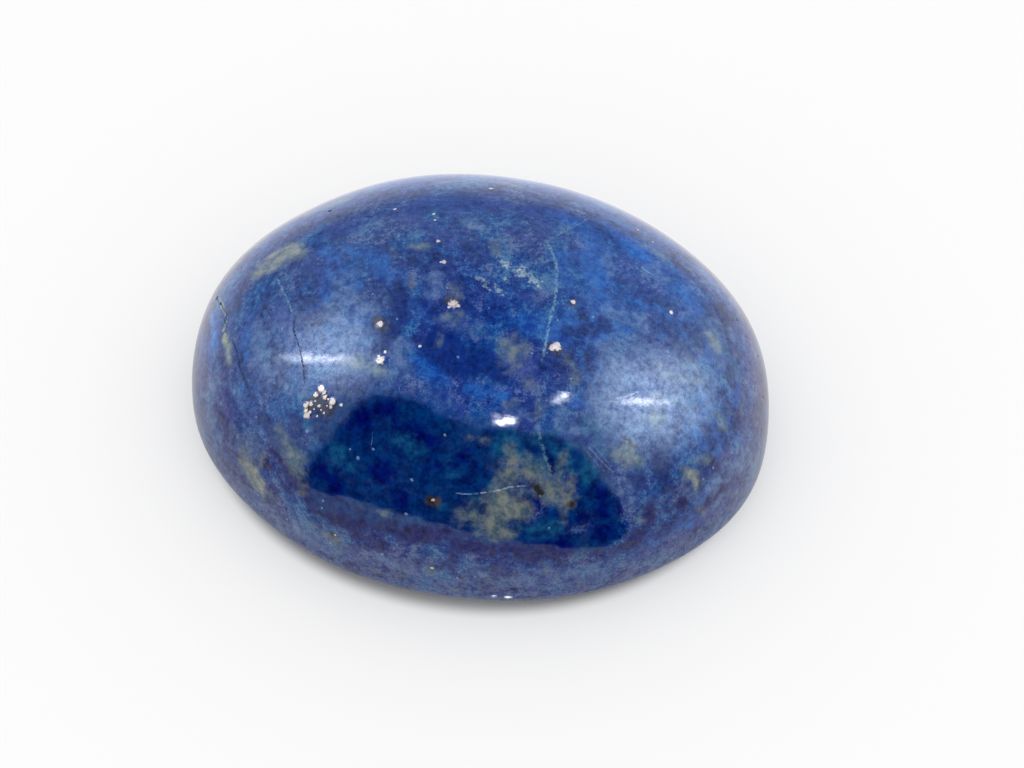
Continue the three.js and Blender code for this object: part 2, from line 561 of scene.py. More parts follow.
# %% Teal places
TEAL = [
    (0.50, 0.8, [(590, 424), (602, 446)]),
    (0.40, 0.7, [(540, 464), (556, 470)]),
    (0.30, 0.8, [(500, 450), (518, 452), (532, 464), (542, 470)]),
    (0.26, 0.7, [(474, 498), (486, 500), (492, 486)]),
    (0.24, 0.7, [(556, 452), (568, 456), (570, 470)]),
    (0.45, 0.8, [(340, 452), (352, 466)]),
    (0.34, 0.7, [(668, 400), (684, 402), (697, 400)]),
    (0.26, 0.6, [(610, 215), (622, 221)]),
    (0.24, 0.6, [(668, 262), (675, 272)]),
    (0.45, 0.6, [(505, 440), (530, 438)]),
    (0.40, 0.6, [(585, 462), (592, 478)]),
    (0.50, 0.5, [(520, 530), (560, 526)]),
    (0.40, 0.5, [(445, 462), (452, 476)]),
    (0.34, 0.5, [(478, 530), (486, 540)]),
    (0.26, 0.6, [(727, 352), (736, 372)]),
    (0.30, 0.6, [(308, 424), (318, 448)]),
    (0.60, 0.4, [(400, 440), (428, 455)]),
    (0.50, 0.4, [(540, 440), (570, 446)]),
    (0.40, 0.5, [(598, 545), (580, 555)]),
    (0.50, 0.4, [(470, 375), (500, 385)]),
    (0.40, 0.4, [(440, 510), (452, 500)]),
    (0.26, 0.5, [(216, 300), (221, 318)]),
    (0.40, 0.4, [(480, 330), (490, 345)]),
]
print(len(TEAL), "teal strokes")

# %% Violet, greyer places
VIOLET = [
    (0.60, 0.9, [(420, 206), (470, 202), (520, 206), (556, 212)]),
    (0.50, 0.7, [(330, 232), (360, 222)]),
    (0.70, 0.8, [(315, 258), (325, 275), (338, 288)]),
    (0.60, 0.6, [(400, 215), (430, 225), (455, 240)]),
    (0.50, 0.5, [(508, 232), (520, 240)]),
    (0.40, 0.6, [(540, 222), (552, 236)]),
    (0.50, 0.6, [(500, 300), (530, 300)]),
    (0.50, 0.6, [(510, 370), (525, 362)]),
    (0.45, 0.6, [(440, 395), (455, 405)]),
    (0.60, 0.6, [(280, 310), (290, 330)]),
    (0.50, 0.6, [(225, 395), (232, 415)]),
    (0.60, 0.6, [(575, 430), (600, 445)]),
    (0.50, 0.5, [(650, 330), (640, 350)]),
    (0.55, 0.6, [(530, 585), (545, 578)]),
    (0.50, 0.5, [(350, 555), (380, 565)]),
    (0.50, 0.5, [(640, 555), (680, 540)]),
    (0.50, 0.6, [(745, 330), (752, 370)]),
    (0.50, 0.5, [(722, 500), (700, 520)]),
    (0.50, 0.5, [(390, 185), (440, 180)]),
    (0.50, 0.5, [(560, 190), (600, 200)]),
    (0.50, 0.6, [(205, 350), (204, 385)]),
]
print(len(VIOLET), "violet strokes")

# %% Chalky calcite, ground through where the dome is steep
CHALK = [
    (0.40, 1.1, [(262, 270), (272, 263), (284, 256), (296, 252)]),
    (0.24, 0.9, [(268, 258), (280, 251), (292, 246)]),
    (0.34, 0.9, [(249, 470), (256, 480), (262, 487)]),
    (0.20, 0.8, [(226, 338), (228, 350), (229, 360)]),
    (0.24, 0.7, [(690, 474), (697, 484)]),
    (0.24, 0.7, [(712, 338), (718, 347)]),
    (0.20, 0.7, [(506, 497), (503, 508)]),
    (0.18, 0.6, [(549, 489), (556, 496)]),
]
print(len(CHALK), "chalky strokes")

# %% Glassy, light blue streaks
GLASSY = [
    (0.16, 1.0, [(212, 312), (214, 326), (212, 344)]),
    (0.10, 0.8, [(218, 303), (220, 318)]),
    (0.14, 0.7, [(206, 340), (206, 352)]),
]
print(len(GLASSY), "glassy streaks")

# %% Frosted calcite crystals
FROST = [
    (0.22, 1.0, [(502, 258), (506, 266)]),
    (0.16, 0.8, [(506, 268), (504, 278)]),
    (0.18, 0.7, [(510, 268), (518, 272)]),
    (0.18, 0.8, [(480, 276), (485, 281)]),
    (0.14, 0.5, [(484, 284), (488, 290)]),
    (0.18, 0.7, [(497, 288), (503, 294)]),
    (0.22, 1.0, [(521, 270), (530, 277), (538, 283)]),
    (0.14, 0.4, [(524, 264), (526, 260)]),
    (0.12, 0.5, [(446, 286), (452, 292)]),
    (0.12, 0.4, [(557, 262), (558, 272)]),
]
print(len(FROST), "frosted crystals")

# %% The seam at the left edge
SEAM = [
    (0.09, 0.9, [(219, 299), (223, 307), (226, 315)]),
    (0.10, 0.9, [(226, 322), (223, 330)]),
    (0.14, 0.8, [(224, 337), (226, 346)]),
]
print(len(SEAM), "lengths of seam")

# %% [markdown]
# ## Grains, specks and hairlines
#
# Pyrite is harder than the blue around it, so its grains keep their facets and stay bright, and
# rust has stained the stone next to some of them. Pale specks of diopside, dark spots and healed
# hairlines come on top. They are too small for brush strokes, so each is kept as a place
# and a radius, or as a line and a half width, in millimetres.

# %% Pyrite grains
PYRITE = [
    # the cluster on the left, a dozen grains and the crumbs between them
    (321, 389, 0.13), (324, 392, 0.09), (325, 397, 0.10), (316, 395, 0.095), (315, 401, 0.04),
    (306, 405, 0.11), (311, 404, 0.09), (306, 410, 0.08), (307, 415, 0.13), (310, 412, 0.05),
    (332, 402, 0.13), (331, 407, 0.075), (328, 399, 0.04), (341, 405, 0.06), (319, 406, 0.05),
    (324, 413, 0.045), (317, 416, 0.045), (321, 410, 0.03), (327, 406, 0.03), (314, 409, 0.03),
    # the single grains
    (453, 304, 0.17), (458, 306, 0.08), (449, 307, 0.06), (380, 324, 0.12), (381, 360, 0.15),
    (385, 352, 0.06), (379, 356, 0.06), (556, 346, 0.16), (552, 348, 0.10), (573, 302, 0.085),
    (671, 312, 0.08), (653, 242, 0.045), (638, 230, 0.05), (434, 214, 0.06), (435, 220, 0.05),
    (438, 241, 0.075), (444, 262, 0.085), (441, 262, 0.05), (491, 189, 0.085), (395, 209, 0.07),
    (433, 500, 0.06), (335, 535, 0.05), (432, 568, 0.06), (420, 346, 0.06),
]
print(len(PYRITE), "pyrite grains")

# %% Pale specks
SPECKS = [
    (371, 204, 0.04), (355, 204, 0.04), (318, 259, 0.035), (322, 260, 0.03), (318, 264, 0.035),
    (399, 236, 0.04), (465, 261, 0.03), (373, 294, 0.04), (369, 279, 0.03), (397, 319, 0.05),
    (458, 357, 0.055), (280, 355, 0.05), (282, 328, 0.04), (547, 353, 0.04), (532, 353, 0.055),
    (558, 320, 0.045), (489, 308, 0.03), (489, 247, 0.03), (571, 379, 0.05), (593, 317, 0.05),
    (587, 315, 0.03), (609, 243, 0.03), (540, 196, 0.04), (529, 202, 0.03), (256, 417, 0.045),
    (258, 495, 0.06), (261, 489, 0.05), (270, 472, 0.03), (323, 501, 0.05), (322, 508, 0.04),
    (287, 519, 0.045), (330, 543, 0.05), (382, 554, 0.055), (459, 572, 0.045), (457, 578, 0.05),
    (475, 577, 0.045), (627, 442, 0.06), (713, 468, 0.06), (703, 479, 0.05), (526, 235, 0.05),
    (508, 235, 0.04), (699, 305, 0.04), (578, 211, 0.055), (373, 449, 0.05), (350, 449, 0.05),
    (358, 458, 0.06), (412, 480, 0.06), (406, 514, 0.06), (445, 435, 0.05), (307, 431, 0.07),
    (549, 528, 0.045),
    # the pale speckle high on the crown
    (505, 262, 0.055), (507, 268, 0.05), (500, 262, 0.04), (497, 257, 0.035), (511, 264, 0.04),
    (518, 270, 0.05), (524, 267, 0.05), (515, 272, 0.04), (528, 276, 0.055), (534, 282, 0.05),
    (540, 288, 0.05), (484, 279, 0.05), (490, 290, 0.06), (500, 290, 0.05), (503, 295, 0.05),
    (501, 292, 0.04), (520, 264, 0.03),
]
print(len(SPECKS), "pale specks")

# %% Dark spots
SPOTS = [
    (541, 493, 0.12), (536, 489, 0.07), (572, 504, 0.09), (643, 407, 0.035), (723, 377, 0.07),
    (330, 211, 0.05), (720, 422, 0.06), (674, 258, 0.07), (321, 404, 0.06), (315, 410, 0.06),
    (328, 410, 0.07), (320, 413, 0.06), (633, 386, 0.04), (626, 392, 0.04), (610, 381, 0.04),
    (616, 400, 0.035), (630, 378, 0.04), (643, 388, 0.045), (664, 390, 0.04), (672, 404, 0.05),
]
print(len(SPOTS), "dark spots")

# %% Hairlines
VEINS = [
    (0.045, 0.30, [(580, 220), (570, 227), (558, 235), (548, 240)]),
    (0.060, 0.55, [(547, 238), (551, 250), (556, 261), (557, 275), (556, 290), (554, 304),
                   (550, 320), (546, 340), (541, 366)]),
    (0.035, 0.30, [(596, 214), (584, 221), (572, 228)]),
    (0.070, 0.34, [(538, 424), (540, 440), (543, 450), (548, 464), (551, 475)]),
    (0.045, 0.60, [(276, 276), (283, 290), (288, 301), (293, 314)]),
]
CRACKS = [
    (0.045, 1.00, [(296, 314), (293, 330), (300, 348), (303, 366), (305, 386)]),
    (0.045, 1.00, [(216, 296), (221, 304), (227, 314), (225, 322), (228, 330)]),
    (0.040, 0.90, [(232, 338), (237, 352), (239, 364), (243, 376), (250, 392)]),
    (0.030, 0.80, [(734, 314), (738, 321), (740, 327)]),
    (0.030, 0.80, [(742, 329), (745, 335), (750, 341)]),
    (0.026, 0.70, [(754, 341), (758, 348)]),
    (0.026, 0.70, [(742, 350), (745, 358)]),
    (0.022, 0.60, [(736, 333), (738, 342)]),
    (0.024, 0.60, [(757, 376), (760, 386)]),
    (0.030, 0.40, [(262, 262), (270, 270), (276, 278)]),
]
SCRATCHES = [
    (0.026, 0.70, [(455, 493), (463, 494), (472, 494), (480, 493)]),
    (0.034, 1.00, [(474, 493), (490, 492), (500, 490), (510, 487), (518, 486), (527, 486)]),
    (0.034, 0.90, [(609, 402), (625, 397), (640, 391)]),
    (0.022, 0.42, [(587, 445), (600, 460), (615, 474)]),
    (0.020, 0.34, [(584, 448), (597, 464), (606, 473)]),
    (0.020, 0.30, [(592, 443), (610, 465)]),
    (0.034, 0.80, [(640, 266), (646, 271), (654, 275)]),
    (0.022, 0.35, [(373, 432), (371, 449)]),
    (0.024, 0.45, [(672, 381), (680, 387), (684, 398)]),
]
print(len(VEINS), "veins,", len(CRACKS), "cracks and", len(SCRATCHES), "scratches")

# %% Stains, and the pits that the polish missed
STAINS = [
    (0.22, 1.0, [(449, 299), (456, 302)]),
    (0.28, 1.0, [(378, 320), (383, 326)]),
    (0.12, 0.5, [(419, 340), (420, 346)]),
    (0.17, 0.9, [(535, 485), (541, 493)]),
    (0.16, 0.8, [(570, 503), (574, 505)]),
    (0.30, 0.5, [(622, 440), (634, 446)]),
    (0.20, 1.0, [(430, 500), (437, 501)]),
    (0.14, 0.7, [(634, 232), (652, 241)]),
    (0.36, 1.0, [(312, 404), (321, 404), (328, 411)]),
    (0.22, 0.8, [(551, 347), (558, 350)]),
    (0.15, 0.9, [(573, 302), (574, 303)]),
    (0.13, 0.8, [(671, 312), (672, 313)]),
    (0.12, 0.6, [(673, 257), (676, 260)]),
    (0.16, 0.6, [(332, 534), (338, 536)]),
]
PITS = [
    # x, y, radius and depth, in millimetres
    (217, 298, 0.10, 0.05), (221, 304, 0.09, 0.05), (226, 319, 0.09, 0.05), (225, 326, 0.07, 0.04),
    (219, 311, 0.06, 0.03), (330, 211, 0.08, 0.05), (737, 320, 0.07, 0.03),
    (746, 336, 0.07, 0.03), (758, 356, 0.08, 0.03), (763, 397, 0.09, 0.03), (761, 430, 0.08, 0.02),
    (541, 495, 0.08, 0.03),
]
print(len(STAINS), "stains and", len(PITS), "pits")

# %% [markdown]
# ## Finer faces where the marks are small
#
# Pits, chips and proud pyrite grains are real shapes, smaller than the ball's faces. The faces
# around them are selected and subdivided twice, still on the ball, and the new points are cast
# out to it again, so that the ground surface stays smooth through them.

# %% Finer faces near pits and grains
REFINE_REACH = (0.30 * MM, 0.16 * MM)
GRAIN_SHOWS_FROM = 0.08

relief_marks = places_on_stone(
    [(x, y) for x, y, *_ in PITS]
    + [(x, y) for x, y, radius in PYRITE if radius >= GRAIN_SHOWS_FROM])
bpy.context.tool_settings.mesh_select_mode = (False, False, True)
for reach in REFINE_REACH:
    cut = cut_to_gauge(points_of(stone.data))
    middles = np.array([cut[list(face.vertices)].mean(0) for face in stone.data.polygons])
    near = np.zeros(len(middles), dtype=bool)
    for mark in relief_marks:
        near |= np.linalg.norm(middles - mark, axis=1) < reach
    bpy.ops.object.mode_set(mode="EDIT")
    bpy.ops.mesh.select_all(action="DESELECT")
    bpy.ops.object.mode_set(mode="OBJECT")
    stone.data.polygons.foreach_set("select", near)
    bpy.ops.object.mode_set(mode="EDIT")
    bpy.ops.mesh.subdivide(number_cuts=1)
    bpy.ops.object.mode_set(mode="OBJECT")
    ball = points_of(stone.data)
    on_dome = ball[:, 2] > AT_EQUATOR
    ball[on_dome] /= np.linalg.norm(ball[on_dome], axis=1)[:, None]
    put_points(stone.data, ball)
bpy.context.tool_settings.mesh_select_mode = (True, False, False)
bpy.ops.object.mode_set(mode="EDIT")
bpy.ops.mesh.select_all(action="SELECT")
bpy.ops.mesh.quads_convert_to_tris()
bpy.ops.object.mode_set(mode="OBJECT")

put_points(stone.data, cut_to_gauge(points_of(stone.data)))
deselect_all()
stone.select_set(True)
bpy.context.view_layer.objects.active = stone
bpy.ops.object.shade_smooth()
print("the cut stone:", len(stone.data.polygons), "triangles")

# %% [markdown]
# ## The side that the marks above don't reach
#
# Seen from behind or below, the stone has to be as rich as in front, so marks of the same kinds
# are strewn there: lines that wander over the surface, with widths and strengths drawn from the
# same lists. The draws are seeded, so the stone is the same one each time.

# %% Strewn marks
points = points_of(stone.data)
normals = np.empty(len(points) * 3, dtype=np.float32)
stone.data.vertex_normals.foreach_get("vector", normals)
normals = normals.reshape(-1, 3)
HIDDEN_BELOW = -0.04  # the normal's share towards the camera
WANDER = 0.5  # how much a heading changes from piece to piece
STROKE_PIECES = (1, 4)  # one, two or three
STROKE_STEP = 1.6  # length of such a piece, in half widths
out_of_sight = points[normals @ np.array(towards_camera) < HIDDEN_BELOW]
chance = np.random.default_rng(11)
print("out of sight:", len(out_of_sight), "of", len(points), "vertices")


def strewn_line(pieces, piece_length):
    """A line that wanders over the hidden side, from a place drawn there."""
    line = [out_of_sight[chance.integers(len(out_of_sight))]]
    heading = chance.normal(size=3)
    for _ in range(pieces):
        heading = heading / np.linalg.norm(heading) + chance.normal(size=3) * WANDER
        aim = line[-1] + heading / np.linalg.norm(heading) * piece_length
        place, normal, _, _ = surface.find_nearest(aim)
        if normal.dot(towards_camera) > HIDDEN_BELOW:
            break
        line.append(np.array(place))
    return np.array(line)


def strewn_strokes(strokes, count):
    drawn = []
    for _ in range(count):
        half_width, strength, _ = strokes[chance.integers(len(strokes))]
        line = strewn_line(chance.integers(*STROKE_PIECES), half_width * STROKE_STEP * MM)
        drawn.append((half_width * MM, strength, line))
    return drawn


def strewn_flecks(flecks, count):
    places = out_of_sight[chance.integers(len(out_of_sight), size=count)]
    return [(place, flecks[chance.integers(len(flecks))][2] * MM) for place in places]


# %% [markdown]
# ## From strokes to the mesh
#
# A brush stroke is kept as a number at each vertex: its strength, less the distance from the
# stroke counted in half widths. The material lets a noise push that number up and down before
# it decides where the cloud ends, and this is what makes the edge ragged like the rock's.

# %% Painting the strokes
FARTHEST = -3.0  # the level where no stroke is near
NO_LENGTH = 1e-12  # keeps a piece of no length from dividing by nothing
CLOUDS = {  # strokes in sight, and how many are strewn out of sight
    "calcite": (CALCITE, 30),
    "steel": (STEEL, 30),
    "bright": (BRIGHT, 16),
    "deep": (DEEP, 44),
    "dense": (DENSE, 10),
    "frost": (FROST, 8),
    "chalk": (CHALK, 3),
    "glassy": (GLASSY, 3),
    "teal": (TEAL, 16),
    "violet": (VIOLET, 20),
    "stain": (STAINS, 10),
    "seam": (SEAM, 2),
}


def distance_to_line(points, line):
    if len(line) == 1:
        return np.linalg.norm(points - line[0], axis=1)
    nearest = np.full(len(points), np.inf)
    for start, end in zip(line, line[1:]):
        way = end - start
        share = ((points - start) @ way / max(way @ way, NO_LENGTH)).clip(0, 1)
        gap = np.linalg.norm(points - (start + share[:, None] * way), axis=1)
        nearest = np.minimum(nearest, gap)
    return nearest


for cloud, (strokes, strewn) in CLOUDS.items():
    lines = [(half_width * MM, strength, places_on_stone(pixels))
             for half_width, strength, pixels in strokes]
    level = np.full(len(points), FARTHEST)
    for half_width, strength, line in lines + strewn_strokes(strokes, strewn):
        level = np.maximum(level, strength - distance_to_line(points, line) / half_width)
    layer = stone.data.attributes.new(cloud, "FLOAT", "POINT")
    layer.data.foreach_set("value", level.astype(np.float32))
    print(cloud, "covers", round(100 * float((level > 0).mean())), "% of the points")

# %% [markdown]
# ## Flecks and hairlines
#
# A fleck of a tenth of a millimetre is as small as a face, so a number at each vertex would
# blur it. Instead each face looks up its nearest fleck, and its corners keep the way from that
# fleck, counted in the fleck's radii. Such a way is exact anywhere inside the face, however
# large the face is. Hairlines do the same with the distance across the line and along it.

# %% Corners and faces
mesh = stone.data
corner_points = np.empty(len(mesh.loops), dtype=np.int32)
mesh.loops.foreach_get("vertex_index", corner_points)
corner_places = points[corner_points]
face_sizes = np.empty(len(mesh.polygons), dtype=np.int32)
mesh.polygons.foreach_get("loop_total", face_sizes)
face_of_corner = np.repeat(np.arange(len(mesh.polygons)), face_sizes)
face_middles = np.empty(len(mesh.polygons) * 3)
mesh.polygons.foreach_get("center", face_middles)
face_middles = face_middles.reshape(-1, 3)


def keep_at_corners(name, vectors):
    layer = mesh.attributes.new(name, "FLOAT_VECTOR", "CORNER")
    layer.data.foreach_set("vector", np.ascontiguousarray(vectors, dtype=np.float32).ravel())


# %% The way from the nearest fleck
FLECKS = {"pyrite": (PYRITE, 34), "speck": (SPECKS, 60), "spot": (SPOTS, 18)}

for kind, (flecks, strewn) in FLECKS.items():
    seen = zip(places_on_stone([(x, y) for x, y, _ in flecks]), [r * MM for *_, r in flecks])
    places, radii = zip(*(list(seen) + strewn_flecks(flecks, strewn)))
    places, radii = np.array(places), np.array(radii)
    nearest = np.zeros(len(face_middles), dtype=int)
    gap = np.full(len(face_middles), np.inf)
    for i, (place, radius) in enumerate(zip(places, radii)):
        to_this = np.linalg.norm(face_middles - place, axis=1) - radius
        nearest[to_this < gap] = i
        gap = np.minimum(gap, to_this)
    pick = nearest[face_of_corner]
    keep_at_corners(kind, (corner_places - places[pick]) / radii[pick][:, None])
    print(kind, len(places))

# %% Across and along the nearest hairline
HAIRLINES = {"vein": (VEINS, 3), "crack": (CRACKS, 3), "scratch": (SCRATCHES, 4)}
HAIR_PIECE = 1.1 * MM
HAIR_PIECES = 4
HAIR_DEPTH = 0.3 * MM  # farther in than this is the other side of the stone
PAST_THE_END = 2.0  # in lengths of the line
FAR_ASIDE = 99.0  # in half widths of the line

for kind, (hairs, strewn) in HAIRLINES.items():
    lines = [(width * MM, strength, places_on_stone(pixels)) for width, strength, pixels in hairs]
    for _ in range(strewn):
        width, strength, _ = hairs[chance.integers(len(hairs))]
        lines.append((width * MM, strength, strewn_line(HAIR_PIECES, HAIR_PIECE)))
    value = np.tile([FAR_ASIDE, 0.0, 0.0], (len(corner_places), 1))
    gap = np.full(len(face_middles), np.inf)
    for width, strength, line in lines:
        lengths = np.linalg.norm(np.diff(line, axis=0), axis=1)
        before = np.concatenate([[0], np.cumsum(lengths)])
        for i, (start, end) in enumerate(zip(line, line[1:])):
            way = (end - start) / lengths[i]
            outward = np.array(surface.find_nearest(Vector((start + end) / 2))[1])
            side = np.cross(way, outward)
            side /= np.linalg.norm(side)
            to_this = distance_to_line(face_middles, np.array([start, end]))
            mine = (to_this < gap)[face_of_corner]
            gap = np.minimum(gap, to_this)
            from_start = corner_places[mine] - start
            across = from_start @ side / width
            along = (before[i] + from_start @ way) / before[-1]
            along[np.abs(from_start @ outward) > HAIR_DEPTH] = PAST_THE_END
            value[mine] = np.stack([across, along, np.full(len(across), strength)], axis=1)
    keep_at_corners(kind, value)
    print(kind, len(lines))

# %% [markdown]
# ## Relief
#
# A polished stone isn't quite smooth. The lap leaves long, shallow waves that make reflections
# tremble, softer spots are plucked out as pits, and hard pyrite stands a few microns proud. The
# waves come from a Displace modifier that is weighted to leave the base flat.

# %% Waves, pits and proud grains
WAVE_LENGTH = 2.6 * MM
WAVE_HEIGHT = 0.012 * MM
WAVES_FROM = 0.4 * GIRDLE_HEIGHT
GRAIN_STANDS = 0.012 * MM
GRAIN_EDGE = 1.2  # where a grain begins to rise, in its radii from the middle
GRAIN_SLOPE = 0.4  # and over how many radii it rises

dome = stone.vertex_groups.new(name="dome")
for i in np.nonzero(points[:, 2] > WAVES_FROM)[0]:
    dome.add([int(i)], 1.0, "REPLACE")
lap_waves = bpy.data.textures.new("lap_waves", "CLOUDS")
lap_waves.noise_scale = WAVE_LENGTH
waves = stone.modifiers.new("lap_waves", "DISPLACE")
waves.texture = lap_waves
waves.texture_coords = "LOCAL"
waves.vertex_group = dome.name
waves.mid_level = 0.5
waves.strength = WAVE_HEIGHT
bpy.ops.object.modifier_apply(modifier=waves.name)

points = points_of(mesh)


def radii_away(x, y, radius):
    """How far each point is from the mark at a frame pixel, counted in the mark's radii."""
    return np.linalg.norm(points - np.array(place_on_stone(x, y)[0]), axis=1) / (radius * MM)


for x, y, radius, depth in PITS:
    share = np.clip(1 - radii_away(x, y, radius), 0, 1)
    points -= normals * (depth * MM * (share * share * (3 - 2 * share)))[:, None]
for x, y, radius in PYRITE:
    if radius >= GRAIN_SHOWS_FROM:
        share = np.clip(GRAIN_EDGE - radii_away(x, y, radius), 0, GRAIN_SLOPE) / GRAIN_SLOPE
        points += normals * (GRAIN_STANDS * share)[:, None]
box = np.array([LENGTH / 2, WIDTH / 2])
points[:, :2] = points[:, :2].clip(-box, box)
points[:, 2] = points[:, 2].clip(0, HEIGHT)
put_points(mesh, points)
print("the finished stone measures", np.round((points.max(0) - points.min(0)) / MM, 3), "mm")

# %% [markdown]
# ## Where the polish looks
#
# A polish shows at each pixel what a mirror would: the sight line leaves the surface at the
# angle at which it came. Lamps could be moved about until their reflections fall right, but
# with this way known, each is hung where its reflection has to show.


# %% Where the polish looks
def mirrored_way(x, y):
    """The place on the stone that a frame pixel shows, and where its mirror image looks."""
    place, normal = place_on_stone(x, y)
    sight = sight_line(x, y)
    return place, sight - 2 * sight.dot(normal) * normal


# %% [markdown]
# ## Polished lapis lazuli
#
# Lapis lazuli is mostly lazurite, with calcite, diopside and pyrite. Ground through ever finer
# grits and buffed with oxide on leather, it takes a wet gloss: a refractive index near 1.5 and a
# low roughness, with the colour lying under it. The layers below go on in the order in which the
# eye reads them: blue ground, clouds, stains, hairlines, specks and, last, metal.

# %% [markdown]
# ### What the layers have in common
#
# Each layer is made of the same few nodes: noises with lumps of a real size, ranges that turn
# a number softly into a share, and mixes that lay one colour over another by that share. Three
# functions say what their inputs are filled with, so that sizes are given in millimetres.

# %% Filling noises, ranges and mixes
IN_4D = {"noise_dimensions": "4D"}  # the fourth way is the seed
SOFTLY = {"interpolation_type": "SMOOTHSTEP"}
COLOURS = {"data_type": "RGBA"}
WHITE, BLACK = (1, 1, 1, 1), (0, 0, 0, 1)


def lumps(place, size, detail, roughness, seed):
    """For a noise whose largest lumps are about `size` millimetres."""
    return {"Vector": place, "W": seed, "Scale": 1 / (size * MM), "Detail": detail,
            "Roughness": roughness}


def ranged(value, source, target=(0.0, 1.0)):
    """For a range that takes `value` from the two ends of `source` to those of `target`."""
    return {"Value": value, "From Min": source[0], "From Max": source[1],
            "To Min": target[0], "To Max": target[1]}


def layered(share, below, above):
    """For a mix that lays the colour `above` over `below` by `share`.

    Set to colours, a Mix node takes the share at socket 0 and the two colours at 6 and 7.
    """
    return {0: share, 6: below, 7: above}


def set_stops(ramp, stops):
    """Gives a colour ramp its places from 0 to 1 and their colours."""
    elements = ramp.color_ramp.elements
    while len(elements) < len(stops):
        elements.new(0.5)
    for element, (position, colour) in zip(elements, stops):
        element.position = position
        element.color = linear(colour)


# %% [markdown]
# ### The blue ground
#
# Lazurite lies in the rock as fine grains, dense and navy in some places, thinly spread
# through white calcite in others. So the ground isn't one blue: noises of four sizes add up to
# how much calcite is mixed in. A fifth says whether the lazurite leans to violet or to azure,
# and two ramps, one for each lean, give the colour from navy to a greyed blue.

# %% The blue ground
LUMP_ROUGHNESS = 0.55
LUMPS = [
    # size in millimetres, detail, how far it moves the share of calcite, seed
    (1.5, 3, 2.0, 0.0), (0.45, 3, 2.1, 4.1), (0.16, 2, 1.7, 8.3), (0.06, 1, 1.6, 12.6),
]
VIOLET_BLUES = [(0.0, "#000036"), (0.2, "#050e50"), (0.50, "#152060"), (0.75, "#283468"),
                (0.92, "#414c78"), (1.0, "#4a567c")]
AZURE_BLUES = [(0.0, "#00023e"), (0.2, "#001a5c"), (0.50, "#032e70"), (0.75, "#13457a"),
               (0.92, "#2c527a"), (1.0, "#3a5e82")]
# The noises below are given by size in millimetres, detail, roughness and seed, and each is
# followed by the two values between which it turns from one thing to the other.
LEAN = (1.3, 5, 0.6, 31.0)
LEAN_TURNS = (0.42, 0.58)


def ground_blue(tree, place):
    """A share of calcite, added up from the lumps and seen through one ramp or the other."""
    calcite = 0.5 - sum(reach for _, _, reach, _ in LUMPS) / 2
    for size, detail, reach, seed in LUMPS:
        grains = add_node(tree, "TexNoise", lumps(place, size, detail, LUMP_ROUGHNESS, seed),
                          **IN_4D)
        calcite = add_node(tree, "Math", {0: grains, 1: reach, 2: calcite},
                           operation="MULTIPLY_ADD")
    leaning = add_node(tree, "TexNoise", lumps(place, *LEAN), **IN_4D)
    lean = add_node(tree, "MapRange", ranged(leaning, LEAN_TURNS), **SOFTLY)
    violet = add_node(tree, "ValToRGB", {"Fac": calcite})
    azure = add_node(tree, "ValToRGB", {"Fac": calcite})
    set_stops(violet, VIOLET_BLUES)
    set_stops(azure, AZURE_BLUES)
    return add_node(tree, "Mix", layered(lean, violet, azure), **COLOURS)


# %% [markdown]
# ### Clouds
#
# A patch of one colour would look painted on. So each kind of cloud has two, mixed by a mottle
# that all kinds share, and its edge is torn to rags by a noise that is added to the painted
# level. `softness` says over how much of that level the cloud thins out. Low on the side a paler
# skin lies over the blue clouds, partly wear and partly a painted sheen, and at the very edge a
# painted highlight where the rim mirrors the paper. A dark speckle lies over both, under the pale
# clouds.

# %% Clouds
BLUE_CLOUDS = [
    # field, colour, lighter colour, size of the rags in millimetres and how ragged,
    # level where it begins, softness, cover
    ("violet", "#0a0e58", "#2e367c", 0.8, 4.0, -0.5, 1.2, 0.65),
    ("bright", "#022478", "#1e5a9e", 0.8, 4.0, -0.5, 1.2, 0.75),
    ("steel", "#223c6c", "#5a7094", 0.8, 5.0, -0.5, 1.3, 0.75),
    ("dense", "#001246", "#002c62", 0.8, 2.6, -0.7, 0.9, 0.93),
    ("teal", "#033458", "#185878", 0.8, 4.0, -0.4, 1.2, 0.60),
    ("deep", "#00003a", "#000d58", 0.8, 4.5, -0.5, 1.1, 0.95),
]
PALE_CLOUDS = [
    ("calcite", "#33495a", "#6a7067", 0.8, 5.0, -0.5, 1.8, 0.88),
    ("chalk", "#626c6a", "#8c8c7e", 0.5, 4.0, -0.5, 1.8, 0.85),
    ("glassy", "#1c4e90", "#4478b4", 0.5, 4.0, -0.4, 1.5, 0.70),
    ("frost", "#4a6c80", "#b4c4b8", 0.14, 6.0, -0.1, 1.6, 0.80),
    ("seam", "#4e6660", "#98a07e", 0.8, 4.0, -0.2, 0.8, 0.80),
    ("stain", "#120d0c", "#43371f", 0.8, 3.5, -0.2, 0.9, 0.80),
]
RAG_DETAIL, RAG_ROUGHNESS = 6, 0.66


def cloud_over(tree, place, colour, tone, look, seed):
    """Lays one kind of cloud over `colour`, and gives the new colour and the cloud's cover."""
    field, dark, light, size, raggedness, begins, softness, cover = look
    painted = add_node(tree, "Attribute", attribute_name=field).outputs["Fac"]
    rags = add_node(tree, "TexNoise", lumps(place, size, RAG_DETAIL, RAG_ROUGHNESS, seed),
                    **IN_4D)
    level = add_node(tree, "Math", {0: rags, 1: raggedness, 2: painted},
                     operation="MULTIPLY_ADD")
    begins += raggedness / 2
    share = add_node(tree, "MapRange", ranged(level, (begins, begins + softness), (0, cover)),
                     **SOFTLY)
    mottled = add_node(tree, "Mix", layered(tone, linear(dark), linear(light)), **COLOURS)
    return add_node(tree, "Mix", layered(share, colour, mottled), **COLOURS), share
